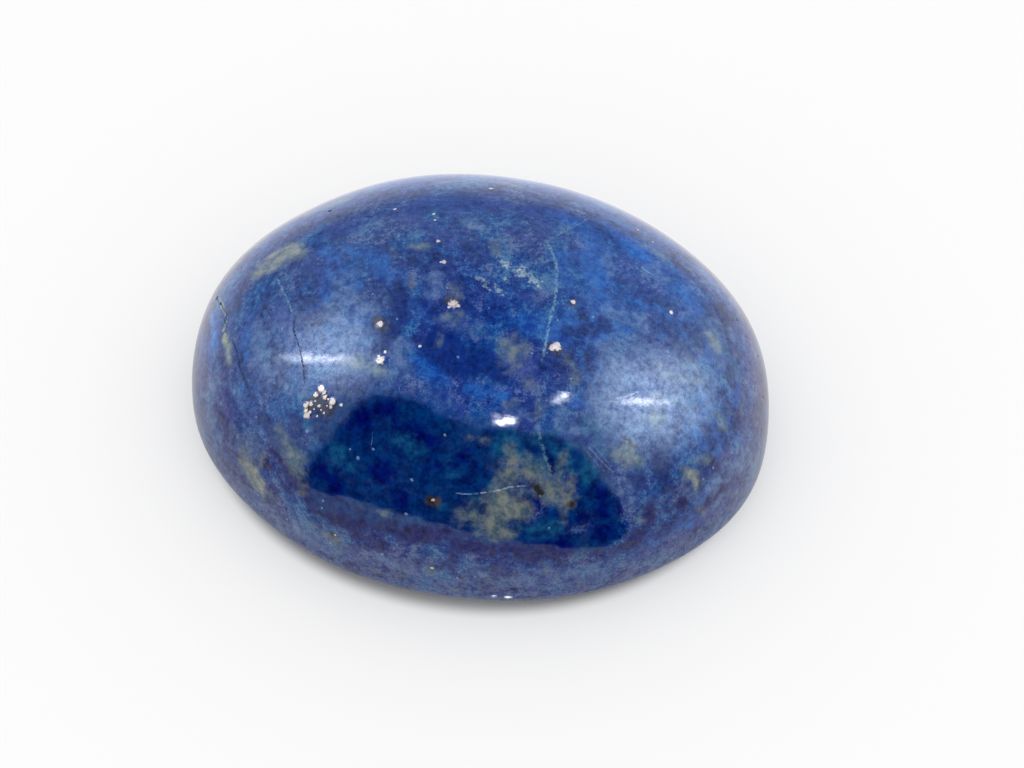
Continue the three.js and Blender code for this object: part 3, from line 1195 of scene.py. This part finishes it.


# %% The worn skin with its painted sheen, and the speckle
# The pale skin is partly wear and partly a painted sheen, for the light a duller polish spreads
# low on the side.
SHEEN_AND_WEAR = "#65738f"  # the skin low on the side, where the buff reached last
SHEEN_AND_WEAR_HEIGHTS, SHEEN_AND_WEAR_COVER = (3.2 * MM, 1.2 * MM), 0.5
# The pale edge is partly wear and partly a painted highlight: the paper's reflection along the
# rim.
EDGE_SHEEN_HEIGHTS, EDGE_SHEEN_COVER = (0.7 * MM, 0.4 * MM), 0.4  # the edge itself rubs on everything
SHEEN_AND_WEAR_PATCHES = (0.3, 7, 0.85, 21.0)
SHEEN_AND_WEAR_TURNS = (0.40, 0.60)
SPECKLE = "#010946"
SPECKLE_GRAINS = (0.06, 2, 0.6, 9.1)
SPECKLE_TURNS, SPECKLE_COVER = (0.50, 0.66), 0.45


def sheen_and_wear_cover(tree, place):
    """Thicker down the side, and in patches: wear with a painted sheen, and a painted highlight at
    the edge.
    """
    height = add_node(tree, "SeparateXYZ", {0: place}).outputs["Z"]
    side = add_node(tree, "MapRange", ranged(height, SHEEN_AND_WEAR_HEIGHTS), **SOFTLY)
    edge = add_node(tree, "MapRange", ranged(height, EDGE_SHEEN_HEIGHTS, (0, EDGE_SHEEN_COVER)), **SOFTLY)
    rubbed_and_sheen = add_node(tree, "Math", {0: side, 1: SHEEN_AND_WEAR_COVER, 2: edge}, operation="MULTIPLY_ADD")
    patches = add_node(tree, "TexNoise", lumps(place, *SHEEN_AND_WEAR_PATCHES), **IN_4D)
    patchy = add_node(tree, "MapRange", ranged(patches, SHEEN_AND_WEAR_TURNS), **SOFTLY)
    return add_node(tree, "Math", {0: rubbed_and_sheen, 1: patchy}, operation="MULTIPLY")


def speckle_cover(tree, place, dense):
    """Everywhere but in the dense lazurite."""
    grains = add_node(tree, "TexNoise", lumps(place, *SPECKLE_GRAINS), **IN_4D)
    fine = add_node(tree, "MapRange", ranged(grains, SPECKLE_TURNS, (0, SPECKLE_COVER)),
                    **SOFTLY)
    elsewhere = add_node(tree, "Math", {0: 1.0, 1: dense}, operation="SUBTRACT")
    return add_node(tree, "Math", {0: fine, 1: elsewhere}, operation="MULTIPLY")


# %% All clouds
BLUE_SEED, PALE_SEED, SEED_STEP = 11, 41, 3.7
MOTTLE = (0.26, 4, 0.62, 2.2)
MOTTLE_TURNS = (0.34, 0.66)


def clouds_over(tree, place, colour):
    """Lays the clouds over the ground, and gives the new colour and the cover of each kind."""
    covers = {}
    mottle = add_node(tree, "TexNoise", lumps(place, *MOTTLE), **IN_4D)
    tone = add_node(tree, "MapRange", ranged(mottle, MOTTLE_TURNS), **SOFTLY)
    for turn, look in enumerate(BLUE_CLOUDS):
        seed = BLUE_SEED + SEED_STEP * turn
        colour, covers[look[0]] = cloud_over(tree, place, colour, tone, look, seed)
    # painted sheen and wear, low on the side
    sheen_and_wear = sheen_and_wear_cover(tree, place)
    colour = add_node(tree, "Mix", layered(sheen_and_wear, colour, linear(SHEEN_AND_WEAR)), **COLOURS)
    speckle = speckle_cover(tree, place, covers["dense"])
    colour = add_node(tree, "Mix", layered(speckle, colour, linear(SPECKLE)), **COLOURS)
    for turn, look in enumerate(PALE_CLOUDS):
        seed = PALE_SEED + SEED_STEP * turn
        colour, covers[look[0]] = cloud_over(tree, place, colour, tone, look, seed)
    return colour, covers


# %% [markdown]
# ### Hairlines
#
# Healed cracks filled with calcite, open cracks, and scratches. An even band along the drawn
# line would look ruled, so a noise makes each line wander, another breaks it at the grains, and
# it fades out at both ends.

# %% Hairlines
HAIR_LOOKS = {  # colour, cover
    "vein": ("#86b0b4", 0.75),
    "crack": ("#050f38", 0.95),
    "scratch": ("#a9bbd2", 0.5),
}
WOBBLE = (0.16, 3, 0.6, 5.5)
WOBBLE_REACH = 3.0  # from side to side, in half widths of the line
GAPS = (0.12, 3, 0.7, 6.6)
GAPS_TURN = (0.36, 0.6)
HAIR_EDGE = (1.2, 0.2)  # in half widths
FADES_IN, FADES_OUT = (-0.01, 0.12), (1.01, 0.88)  # in lengths of the line


def hairlines_over(tree, place, colour):
    """Draws the hairlines over `colour`, and gives the new colour and the cover of each kind."""
    covers = {}
    wobble = add_node(tree, "TexNoise", lumps(place, *WOBBLE), **IN_4D)
    grains = add_node(tree, "TexNoise", lumps(place, *GAPS), **IN_4D)
    gaps = add_node(tree, "MapRange", ranged(grains, GAPS_TURN), **SOFTLY)
    for kind, (tint, cover) in HAIR_LOOKS.items():
        hair = add_node(tree, "Attribute", attribute_name=kind).outputs["Vector"]
        parts = add_node(tree, "SeparateXYZ", {0: hair}).outputs
        across, along, strength = (parts[axis] for axis in "XYZ")
        moved = add_node(tree, "Math", {0: wobble, 1: WOBBLE_REACH, 2: across},
                         operation="MULTIPLY_ADD")
        evened = add_node(tree, "Math", {0: moved, 1: WOBBLE_REACH / 2}, operation="SUBTRACT")
        aside = add_node(tree, "Math", {0: evened}, operation="ABSOLUTE")
        on_line = add_node(tree, "MapRange", ranged(aside, HAIR_EDGE, (0, cover)), **SOFTLY)
        start = add_node(tree, "MapRange", ranged(along, FADES_IN), **SOFTLY)
        end = add_node(tree, "MapRange", ranged(along, FADES_OUT), **SOFTLY)
        ends = add_node(tree, "Math", {0: start, 1: end}, operation="MULTIPLY")
        whole = add_node(tree, "Math", {0: on_line, 1: ends}, operation="MULTIPLY")
        broken = add_node(tree, "Math", {0: gaps, 1: strength}, operation="MULTIPLY")
        covers[kind] = add_node(tree, "Math", {0: whole, 1: broken}, operation="MULTIPLY")
        colour = add_node(tree, "Mix", layered(covers[kind], colour, linear(tint)), **COLOURS)
    return colour, covers


# %% [markdown]
# ### Flecks
#
# Dark spots are pits full of polishing dust, pale specks are lone calcite grains, and pyrite
# is a brassy metal that the polish turns almost cream. Round dots would look printed, so a
# noise jostles the way from the fleck's middle, and its outline comes out angular.

# %% Flecks
FLECK_GRAIN, FLECK_DETAIL = 0.10 * MM, 2
FLECK_EDGE = (1.1, 0.6)  # in radii from the middle
FLECK_LOOKS = {  # colour, jostle in radii, cover
    "spot": ("#120d10", 0.9, 0.8),
    "speck": ("#8798b6", 1.6, 0.42),
    "pyrite": ("#cdb59c", 1.5, 1.0),
}


def flecks_over(tree, place, colour):
    """Sets the flecks into `colour`, and gives the new colour and the cover of each kind."""
    covers = {}
    jostle = add_node(tree, "TexNoise", {
        "Vector": place, "Scale": 1 / FLECK_GRAIN, "Detail": FLECK_DETAIL}).outputs["Color"]
    for kind, (tint, amount, cover) in FLECK_LOOKS.items():
        way = add_node(tree, "Attribute", attribute_name=kind).outputs["Vector"]
        moved = add_node(tree, "VectorMath", {0: jostle, 1: (amount,) * 3, 2: way},
                         operation="MULTIPLY_ADD")
        middle = add_node(tree, "VectorMath", {0: moved, 1: (amount / 2,) * 3},
                          operation="SUBTRACT")
        radii = add_node(tree, "VectorMath", {0: middle}, operation="LENGTH")
        covers[kind] = add_node(tree, "MapRange", ranged(radii, FLECK_EDGE, (0, cover)),
                                **SOFTLY)
        colour = add_node(tree, "Mix", layered(covers[kind], colour, linear(tint)), **COLOURS)
    return colour, covers


# %% [markdown]
# ### Gloss
#
# The buffed skin is finest on the blue, and duller on calcite and around grains, which polish
# less evenly. The base was only lapped flat, so it stays satin. Scratches, cracks and pits are
# far narrower than a face, so a bump cuts them into the skin.

# %% Gloss
BUFFED = (0.045, 0.09)
DULLER_BY = {"calcite": 0.05, "seam": 0.15, "stain": 0.08, "spot": 0.25, "pyrite": 0.3}
LAPPED_DULLER_BY = 0.4
LAPPED_HEIGHTS = (0.12 * MM, 0.02 * MM)
BUFF_PATCHES = (0.6, 4, 0.6, 3.3)
BUFF_TURNS = (0.3, 0.7)
SKIN_GRAINS = (0.09, 3, 0.6, 7.7)
CUT_BY = {"scratch": -1.5, "crack": -1.5, "vein": -0.5, "spot": -1.0, "calcite": -0.4}


def gloss_of(tree, place, covers):
    """The roughness and the height of the skin."""
    level = add_node(tree, "SeparateXYZ", {0: place}).outputs["Z"]
    lapped = add_node(tree, "MapRange", ranged(level, LAPPED_HEIGHTS), **SOFTLY)
    patches = add_node(tree, "TexNoise", lumps(place, *BUFF_PATCHES), **IN_4D)
    roughness = add_node(tree, "MapRange", ranged(patches, BUFF_TURNS, BUFFED))
    duller = [(covers[kind], amount) for kind, amount in DULLER_BY.items()]
    for cover, amount in [*duller, (lapped, LAPPED_DULLER_BY)]:
        roughness = add_node(tree, "Math", {0: cover, 1: amount, 2: roughness},
                             operation="MULTIPLY_ADD")
    height = add_node(tree, "TexNoise", lumps(place, *SKIN_GRAINS), **IN_4D)
    for kind, amount in CUT_BY.items():
        height = add_node(tree, "Math", {0: covers[kind], 1: amount, 2: height},
                          operation="MULTIPLY_ADD")
    return roughness, height


# %% [markdown]
# ### All layers together
#
# The layers meet in one Principled shader. Its index is lazurite's. How much it mirrors changes
# from grain to grain by a noise, pyrite mirrors as metal, and an open crack not at all, because
# light that falls into it doesn't come out.

# %% All layers together
PYRITE_METAL = 0.55
SKIN_DEPTH = 0.0010 * MM
STONE_IOR = 1.52
MIRRORING_GRAINS = (0.2, 5, 0.72, 17.0)
GRAIN_TURNS = (0.36, 0.64)
GRAIN_LEVELS = (0.25, 0.75)


def polished_lapis():
    """Lapis lazuli with its base lapped flat and its dome buffed to a wet gloss."""
    material = bpy.data.materials.new("polished_lapis_lazuli")
    material.use_nodes = True
    tree = material.node_tree
    shader = tree.nodes["Principled BSDF"]
    place = add_node(tree, "TexCoord").outputs["Object"]
    colour, clouds = clouds_over(tree, place, ground_blue(tree, place))
    colour, hairs = hairlines_over(tree, place, colour)
    colour, flecks = flecks_over(tree, place, colour)
    metal = add_node(tree, "Math", {0: flecks["pyrite"], 1: PYRITE_METAL}, operation="MULTIPLY")
    roughness, height = gloss_of(tree, place, {**clouds, **hairs, **flecks})
    skin = add_node(tree, "Bump", {"Height": height, "Distance": SKIN_DEPTH})
    grains = add_node(tree, "TexNoise", lumps(place, *MIRRORING_GRAINS), **IN_4D)
    level = add_node(tree, "MapRange", ranged(grains, GRAIN_TURNS, GRAIN_LEVELS))
    shut = add_node(tree, "Math", {0: 1.0, 1: hairs["crack"]}, operation="SUBTRACT")
    mirror = add_node(tree, "Math", {0: level, 1: shut}, operation="MULTIPLY")
    plug(tree, shader, {
        "Base Color": colour, "Metallic": metal, "Roughness": roughness, "IOR": STONE_IOR,
        "Specular IOR Level": mirror, "Normal": skin})
    return material


stone.data.materials.append(polished_lapis())
print("its material has", len(stone.data.materials[0].node_tree.nodes), "nodes")

# %% [markdown]
# ## The light tent
#
# Gems are shown in a tent of white cloth on white paper, because a polish shows whatever
# stands around it. The world is that tent. It lights the stone white and evenly, while mirrored
# rays see the cloth as it looks from the stone: brighter than it lights, and a little blue.

# %% The tent
TENT_LIGHT = 1.35


def cool(hex_colour):
    """A colour of light, kept at the same red and as much bluer as the hex says."""
    red, green, blue, _ = linear(hex_colour)
    return (1.0, green / red, blue / red, 1.0)


BULB_LIGHT = cool("#f0f4ff")
LAMP_LIGHT = cool("#c2dcff")
TENT_MIRRORED = [  # from the horizon up
    (0.0, "#a0b4cc"), (0.10, "#7c9cc8"), (0.22, "#7095c6"), (0.36, "#8fb0d8"), (1.0, "#8fb0d8"),
]
TENT_MIRRORED_LIGHT = 2.4

world = bpy.data.worlds.new("white_tent")
world.use_nodes = True
tree = world.node_tree
mirrored = add_node(tree, "LightPath").outputs["Is Glossy Ray"]
way = add_node(tree, "TexCoord").outputs["Generated"]
height = add_node(tree, "SeparateXYZ", {0: way}).outputs["Z"]
cloth = add_node(tree, "ValToRGB", {"Fac": height})
set_stops(cloth, TENT_MIRRORED)
plug(tree, tree.nodes["Background"], {
    "Color": add_node(tree, "Mix", layered(mirrored, WHITE, cloth), **COLOURS),
    "Strength": add_node(tree, "MapRange", ranged(
        mirrored, (0, 1), (TENT_LIGHT, TENT_MIRRORED_LIGHT)))})
bpy.context.scene.world = world
print("the tent lights with", TENT_LIGHT, "and is mirrored with", TENT_MIRRORED_LIGHT)

# %% [markdown]
# ## The paper
#
# White paper that glows a little by itself: a painted light that fades out under the stone's edge,
# and so paints the shadow there narrow. What the polish mirrors of it is painted separately: in
# front it keeps only the light that falls on it, a painted shade of the stone's own foreground,
# while beside and behind it a painted glow lights it bright, more so on the right, dimmer far
# away.

# %% The paper
PAPER = "#b2b2b2"
PAPER_SIDE = 4  # metres, so that it runs out of every view
PAPER_ROUGHNESS = 0.9
# painted light: the paper glows by itself, and not under the stone's edge, which paints the shadow
PAINTED_PAPER_GLOW = 0.385
PAINTED_GLOW_RISES = (0.97, 1.05)  # in half lengths and half widths of the stone, from its middle
PAINTED_GLOW_NEARER_ASIDE = 0.07  # at the stone's two ends
PAINTED_MIRRORED_PAPER = "#bababa"
PAINTED_LIT_PAPER_LIGHT = (1.22, 1.38, 1.80, 1.0)
PAINTED_FAR_PAPER_LIGHT = (0.98, 1.18, 1.60, 1.0)
PAINTED_NEAR_PAPER_LIGHT = (1.22, 1.20, 1.22, 1.0)
# where a painted glow lights the paper's mirror image: behind and around the stone, more on the
# right
LIT_BEHIND = (-9 * MM, 0.0)  # along Y
LIT_AROUND, NEAR_TO_LIT, LIT_TO_FAR = (0.85, 1.5), (1.3, 2.2), (3.0, 12.0)  # as PAINTED_GLOW_RISES
BRIGHTER_ON_THE_RIGHT = 0.25
RIGHT_ALONG_X, RIGHT_ALONG_Y = (9 * MM, 20 * MM), (12 * MM, 0.0)

deselect_all()
bpy.ops.mesh.primitive_plane_add(size=PAPER_SIDE, location=(0, 0, 0))
paper = bpy.context.object
paper.name = "white_paper"
paper_material = bpy.data.materials.new("matt_white_paper")
paper_material.use_nodes = True
tree = paper_material.node_tree
mirrored = add_node(tree, "LightPath").outputs["Is Glossy Ray"]
place = add_node(tree, "TexCoord").outputs["Object"]
where = add_node(tree, "SeparateXYZ", {0: place}).outputs
scaled = add_node(tree, "VectorMath", {0: place, 1: (2 / LENGTH, 2 / WIDTH, 0)},
                  operation="MULTIPLY")
away = add_node(tree, "VectorMath", {0: scaled}, operation="LENGTH")

# %% How much painted light the paper glows with by itself
aside = add_node(tree, "SeparateXYZ", {0: scaled}).outputs["X"]
aside = add_node(tree, "Math", {0: aside, 1: aside}, operation="MULTIPLY")
aside = add_node(tree, "Math", {0: aside, 1: PAINTED_GLOW_NEARER_ASIDE}, operation="MULTIPLY")
edge = add_node(tree, "Math", {0: away, 1: aside}, operation="ADD")
glow = add_node(tree, "MapRange", ranged(edge, PAINTED_GLOW_RISES, (0, PAINTED_PAPER_GLOW)), **SOFTLY)

# %% How bright its mirror image is painted
behind = add_node(tree, "MapRange", ranged(where["Y"], LIT_BEHIND), **SOFTLY)
around = add_node(tree, "MapRange", ranged(away, LIT_AROUND), **SOFTLY)
lit = add_node(tree, "Math", {0: behind, 1: around}, operation="MULTIPLY")
near = add_node(tree, "MapRange", ranged(where["Y"], RIGHT_ALONG_Y), **SOFTLY)
right = add_node(tree, "MapRange", ranged(where["X"], RIGHT_ALONG_X, (0, BRIGHTER_ON_THE_RIGHT)),
                 **SOFTLY)
right = add_node(tree, "Math", {0: near, 1: right}, operation="MULTIPLY")
bright = add_node(tree, "Math", {0: lit, 1: right, 2: lit}, operation="MULTIPLY_ADD")

# %% The paper's colours, and its material
to_lit = add_node(tree, "MapRange", ranged(away, NEAR_TO_LIT), **SOFTLY)
to_far = add_node(tree, "MapRange", ranged(away, LIT_TO_FAR), **SOFTLY)
shine = add_node(tree, "Mix", layered(to_lit, PAINTED_NEAR_PAPER_LIGHT, PAINTED_LIT_PAPER_LIGHT), **COLOURS)
shine = add_node(tree, "Mix", layered(to_far, shine, PAINTED_FAR_PAPER_LIGHT), **COLOURS)
# Mirrored, the paper gets painted light and shade: its colour goes black where the painted glow
# takes over
shaded = add_node(tree, "Mix", layered(lit, linear(PAINTED_MIRRORED_PAPER), BLACK), **COLOURS)
plug(tree, tree.nodes["Principled BSDF"], {
    "Base Color": add_node(tree, "Mix", layered(mirrored, linear(PAPER), shaded), **COLOURS),
    "Emission Color": add_node(tree, "Mix", layered(mirrored, WHITE, shine), **COLOURS),
    "Emission Strength": add_node(tree, "Mix", {0: mirrored, 2: glow, 3: bright}),  # numbers
    "Roughness": PAPER_ROUGHNESS, "Specular IOR Level": 0.0})
paper.data.materials.append(paper_material)
print("the paper glows with", PAINTED_PAPER_GLOW)

# %% [markdown]
# ## Panes that only the polish mirrors
#
# Around a small stone stand lamps, windows and the dark opening of the tent, and the polish
# shows them all. Real lamps would also change the light on the paper and in the colours under
# the polish. So each of these things is a pane that only mirrored rays see. Two numbers at its
# vertices say what share of the light from behind it lets through, and how much glow it adds.

# %% Panes that the polish mirrors
OVER_PAPER = 0.05 * MM


def mirrored_place(x, y, distance):
    """What the polish shows at a frame pixel: a place so far off, or where the paper stops it."""
    place, way = mirrored_way(x, y)
    if way.z < 0:
        distance = min(distance, (place.z - OVER_PAPER) / -way.z)
    return place + way * distance


def pane(name, corners, faces, lets=None, adds=None, colour=BLACK):
    """A sheet that lets a share `lets` of what is behind it through and adds a glow of `adds`."""
    mesh = bpy.data.meshes.new(name)
    mesh.from_pydata(corners, [], faces)
    piece = bpy.data.objects.new(name, mesh)
    bpy.context.scene.collection.objects.link(piece)
    material = bpy.data.materials.new(name)
    material.use_nodes = True
    tree = material.node_tree
    tree.nodes.clear()
    shares = {"lets": lets, "adds": adds}
    sources = {}
    for share, values in shares.items():
        layer = mesh.attributes.new(share, "FLOAT", "POINT")
        layer.data.foreach_set("value", values if values is not None else [0.0] * len(corners))
        sources[share] = add_node(tree, "Attribute", attribute_name=share).outputs["Fac"]
    through = add_node(tree, "BsdfTransparent", {"Color": sources["lets"]})
    glow = add_node(tree, "Emission", {"Color": colour, "Strength": sources["adds"]})
    both = add_node(tree, "AddShader", {0: through, 1: glow})
    add_node(tree, "OutputMaterial", {"Surface": both})
    mesh.materials.append(material)
    piece.visible_camera = False
    piece.visible_diffuse = False
    piece.visible_shadow = False
    print(name, "with", len(corners), "corners")


# %% [markdown]
# ### The dark opening
#
# The tent is open where the camera looks in, and the room beyond is dark. The lower front of the
# dome mirrors this opening, with a bent upper edge and an almost straight foot. The pane lets
# nothing through. A grid between the two edges gives it enough corners to follow the mirror.

# %% The dark opening
OPENING_DISTANCE = 0.3
OPENING_TOP = [(297, 480), (324, 444), (340, 423), (356, 401), (375, 393), (400, 397), (425, 403),
               (437, 415), (480, 428), (520, 430), (560, 435), (570, 446), (585, 452), (595, 471),
               (618, 498), (632, 525)]
OPENING_FOOT = [(297, 480), (318, 491), (355, 500), (385, 509), (430, 521), (470, 532),
                (520, 542), (570, 548), (610, 545), (622, 538), (632, 525)]
OPENING_COLUMNS, OPENING_ROWS = 90, 24

corners = []
for x in np.linspace(OPENING_TOP[0][0], OPENING_TOP[-1][0], OPENING_COLUMNS):
    top = np.interp(x, *zip(*OPENING_TOP))
    foot = np.interp(x, *zip(*OPENING_FOOT))
    corners += [mirrored_place(x, y, OPENING_DISTANCE)
                for y in np.linspace(top, foot, OPENING_ROWS)]
pane("dark_opening", corners,
     [(c * OPENING_ROWS + r, c * OPENING_ROWS + r + 1, (c + 1) * OPENING_ROWS + r + 1,
       (c + 1) * OPENING_ROWS + r)
      for c in range(OPENING_COLUMNS - 1) for r in range(OPENING_ROWS - 1)])

# %% [markdown]
# ### Lamps, windows and glints
#
# Cloth spreads the light of what stands behind it, so a lamp or a window has no edge: it fades
# out from its middle, here by a cosine, and `crisp` keeps more of it bright. Two long lamps lie
# in a haze of their own on the left and the right, small bulbs stand nearer, and two glints sit
# low on the rim. The dim ceiling takes light away, where the tent's top is turned to the room.

# %% Soft panes
PANE_STEPS = 12


def soft_pane(name, middle, reach, distance, adds=0.0, dims=0.0, crisp=1.0, colour=LAMP_LIGHT):
    """A soft-edged pane seen mirrored at the frame pixel `middle`, `reach` pixels out each way.

    Each side has a reach of its own: left, right, up and down.
    """
    left, right, up, down = reach
    ticks = np.linspace(-1, 1, 2 * PANE_STEPS + 1)
    corners, glow, through = [], [], []
    for v in ticks:
        for u in ticks:
            x = middle[0] + u * (right if u > 0 else left)
            y = middle[1] + v * (down if v > 0 else up)
            place, way = mirrored_way(x, y)
            corners.append(place + way * distance)
            share = math.cos(u * math.pi / 2) ** 2 * math.cos(v * math.pi / 2) ** 2
            share = 1 - (1 - share) ** crisp
            glow.append(adds * share)
            through.append(1 - dims * share)
    wide = len(ticks)
    faces = [(r * wide + c, r * wide + c + 1, (r + 1) * wide + c + 1, (r + 1) * wide + c)
             for r in range(wide - 1) for c in range(wide - 1)]
    pane(name, corners, faces, through, glow, colour)


SKY = linear("#2e84ff")
RIM_DISTANCE = 0.5 * MM  # what the lowest rim mirrors stands just over the paper
soft_pane("dim_ceiling", (470, 375), (120, 130, 160, 150), 0.36, adds=1.7, dims=0.91, crisp=2.5,
          colour=SKY)
soft_pane("right_sky", (650, 262), (120, 90, 60, 110), 0.37, adds=1.3, crisp=1.6, colour=SKY)
soft_pane("left_glow", (333, 352), (78, 68, 58, 60), 0.34, adds=3.7, crisp=1.2)
soft_pane("right_glow", (648, 395), (74, 92, 66, 80), 0.34, adds=4.1, crisp=1.5)
soft_pane("left_window", (252, 380), (45, 70, 110, 120), 0.35, adds=0.6)
soft_pane("right_window", (712, 350), (95, 80, 110, 140), 0.35, adds=0.6, crisp=1.4)
soft_pane("left_lamp", (316, 359), (46, 50, 7, 6), 0.32, adds=12, crisp=1.3, colour=BULB_LIGHT)
soft_pane("right_lamp", (638, 401), (36, 54, 6, 6), 0.32, adds=12, crisp=1.3, colour=BULB_LIGHT)
soft_pane("near_bulb", (508, 420), (6, 6, 4, 4), 0.29, adds=70, crisp=3, colour=BULB_LIGHT)
soft_pane("near_bulb_side", (500, 422), (5, 5, 3, 3), 0.29, adds=60, crisp=3, colour=BULB_LIGHT)
soft_pane("near_bulb_edge", (496, 416), (4, 4, 2, 2), 0.28, adds=16, crisp=2, colour=BULB_LIGHT)
soft_pane("right_bulb", (564, 396), (5, 6, 3, 4), 0.29, adds=45, crisp=2, colour=BULB_LIGHT)
soft_pane("right_bulb_side", (557, 400), (5, 5, 2, 3), 0.29, adds=30, crisp=2, colour=BULB_LIGHT)
soft_pane("right_bulb_edge", (552, 402), (4, 4, 2, 2), 0.28, adds=16, crisp=2, colour=BULB_LIGHT)
soft_pane("rim_glint", (494, 596), (4, 4, 1.2, 1.2), RIM_DISTANCE, adds=9, colour=BULB_LIGHT)
soft_pane("second_rim_glint", (508, 597), (5, 6, 1.2, 1.2), RIM_DISTANCE, adds=9,
          colour=BULB_LIGHT)

# %% [markdown]
# ## Colour of the render
#
# A view made to look like film would soften the bright paper and grey the blues. The Standard
# view shows the colours as they were mixed.

# %% Colour of the render
bpy.context.scene.view_settings.view_transform = "Standard"
print("view transform:", bpy.context.scene.view_settings.view_transform)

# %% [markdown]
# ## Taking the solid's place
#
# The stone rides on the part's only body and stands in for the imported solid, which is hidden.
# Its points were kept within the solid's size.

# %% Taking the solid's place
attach(stone, "root")
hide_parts(NODE)
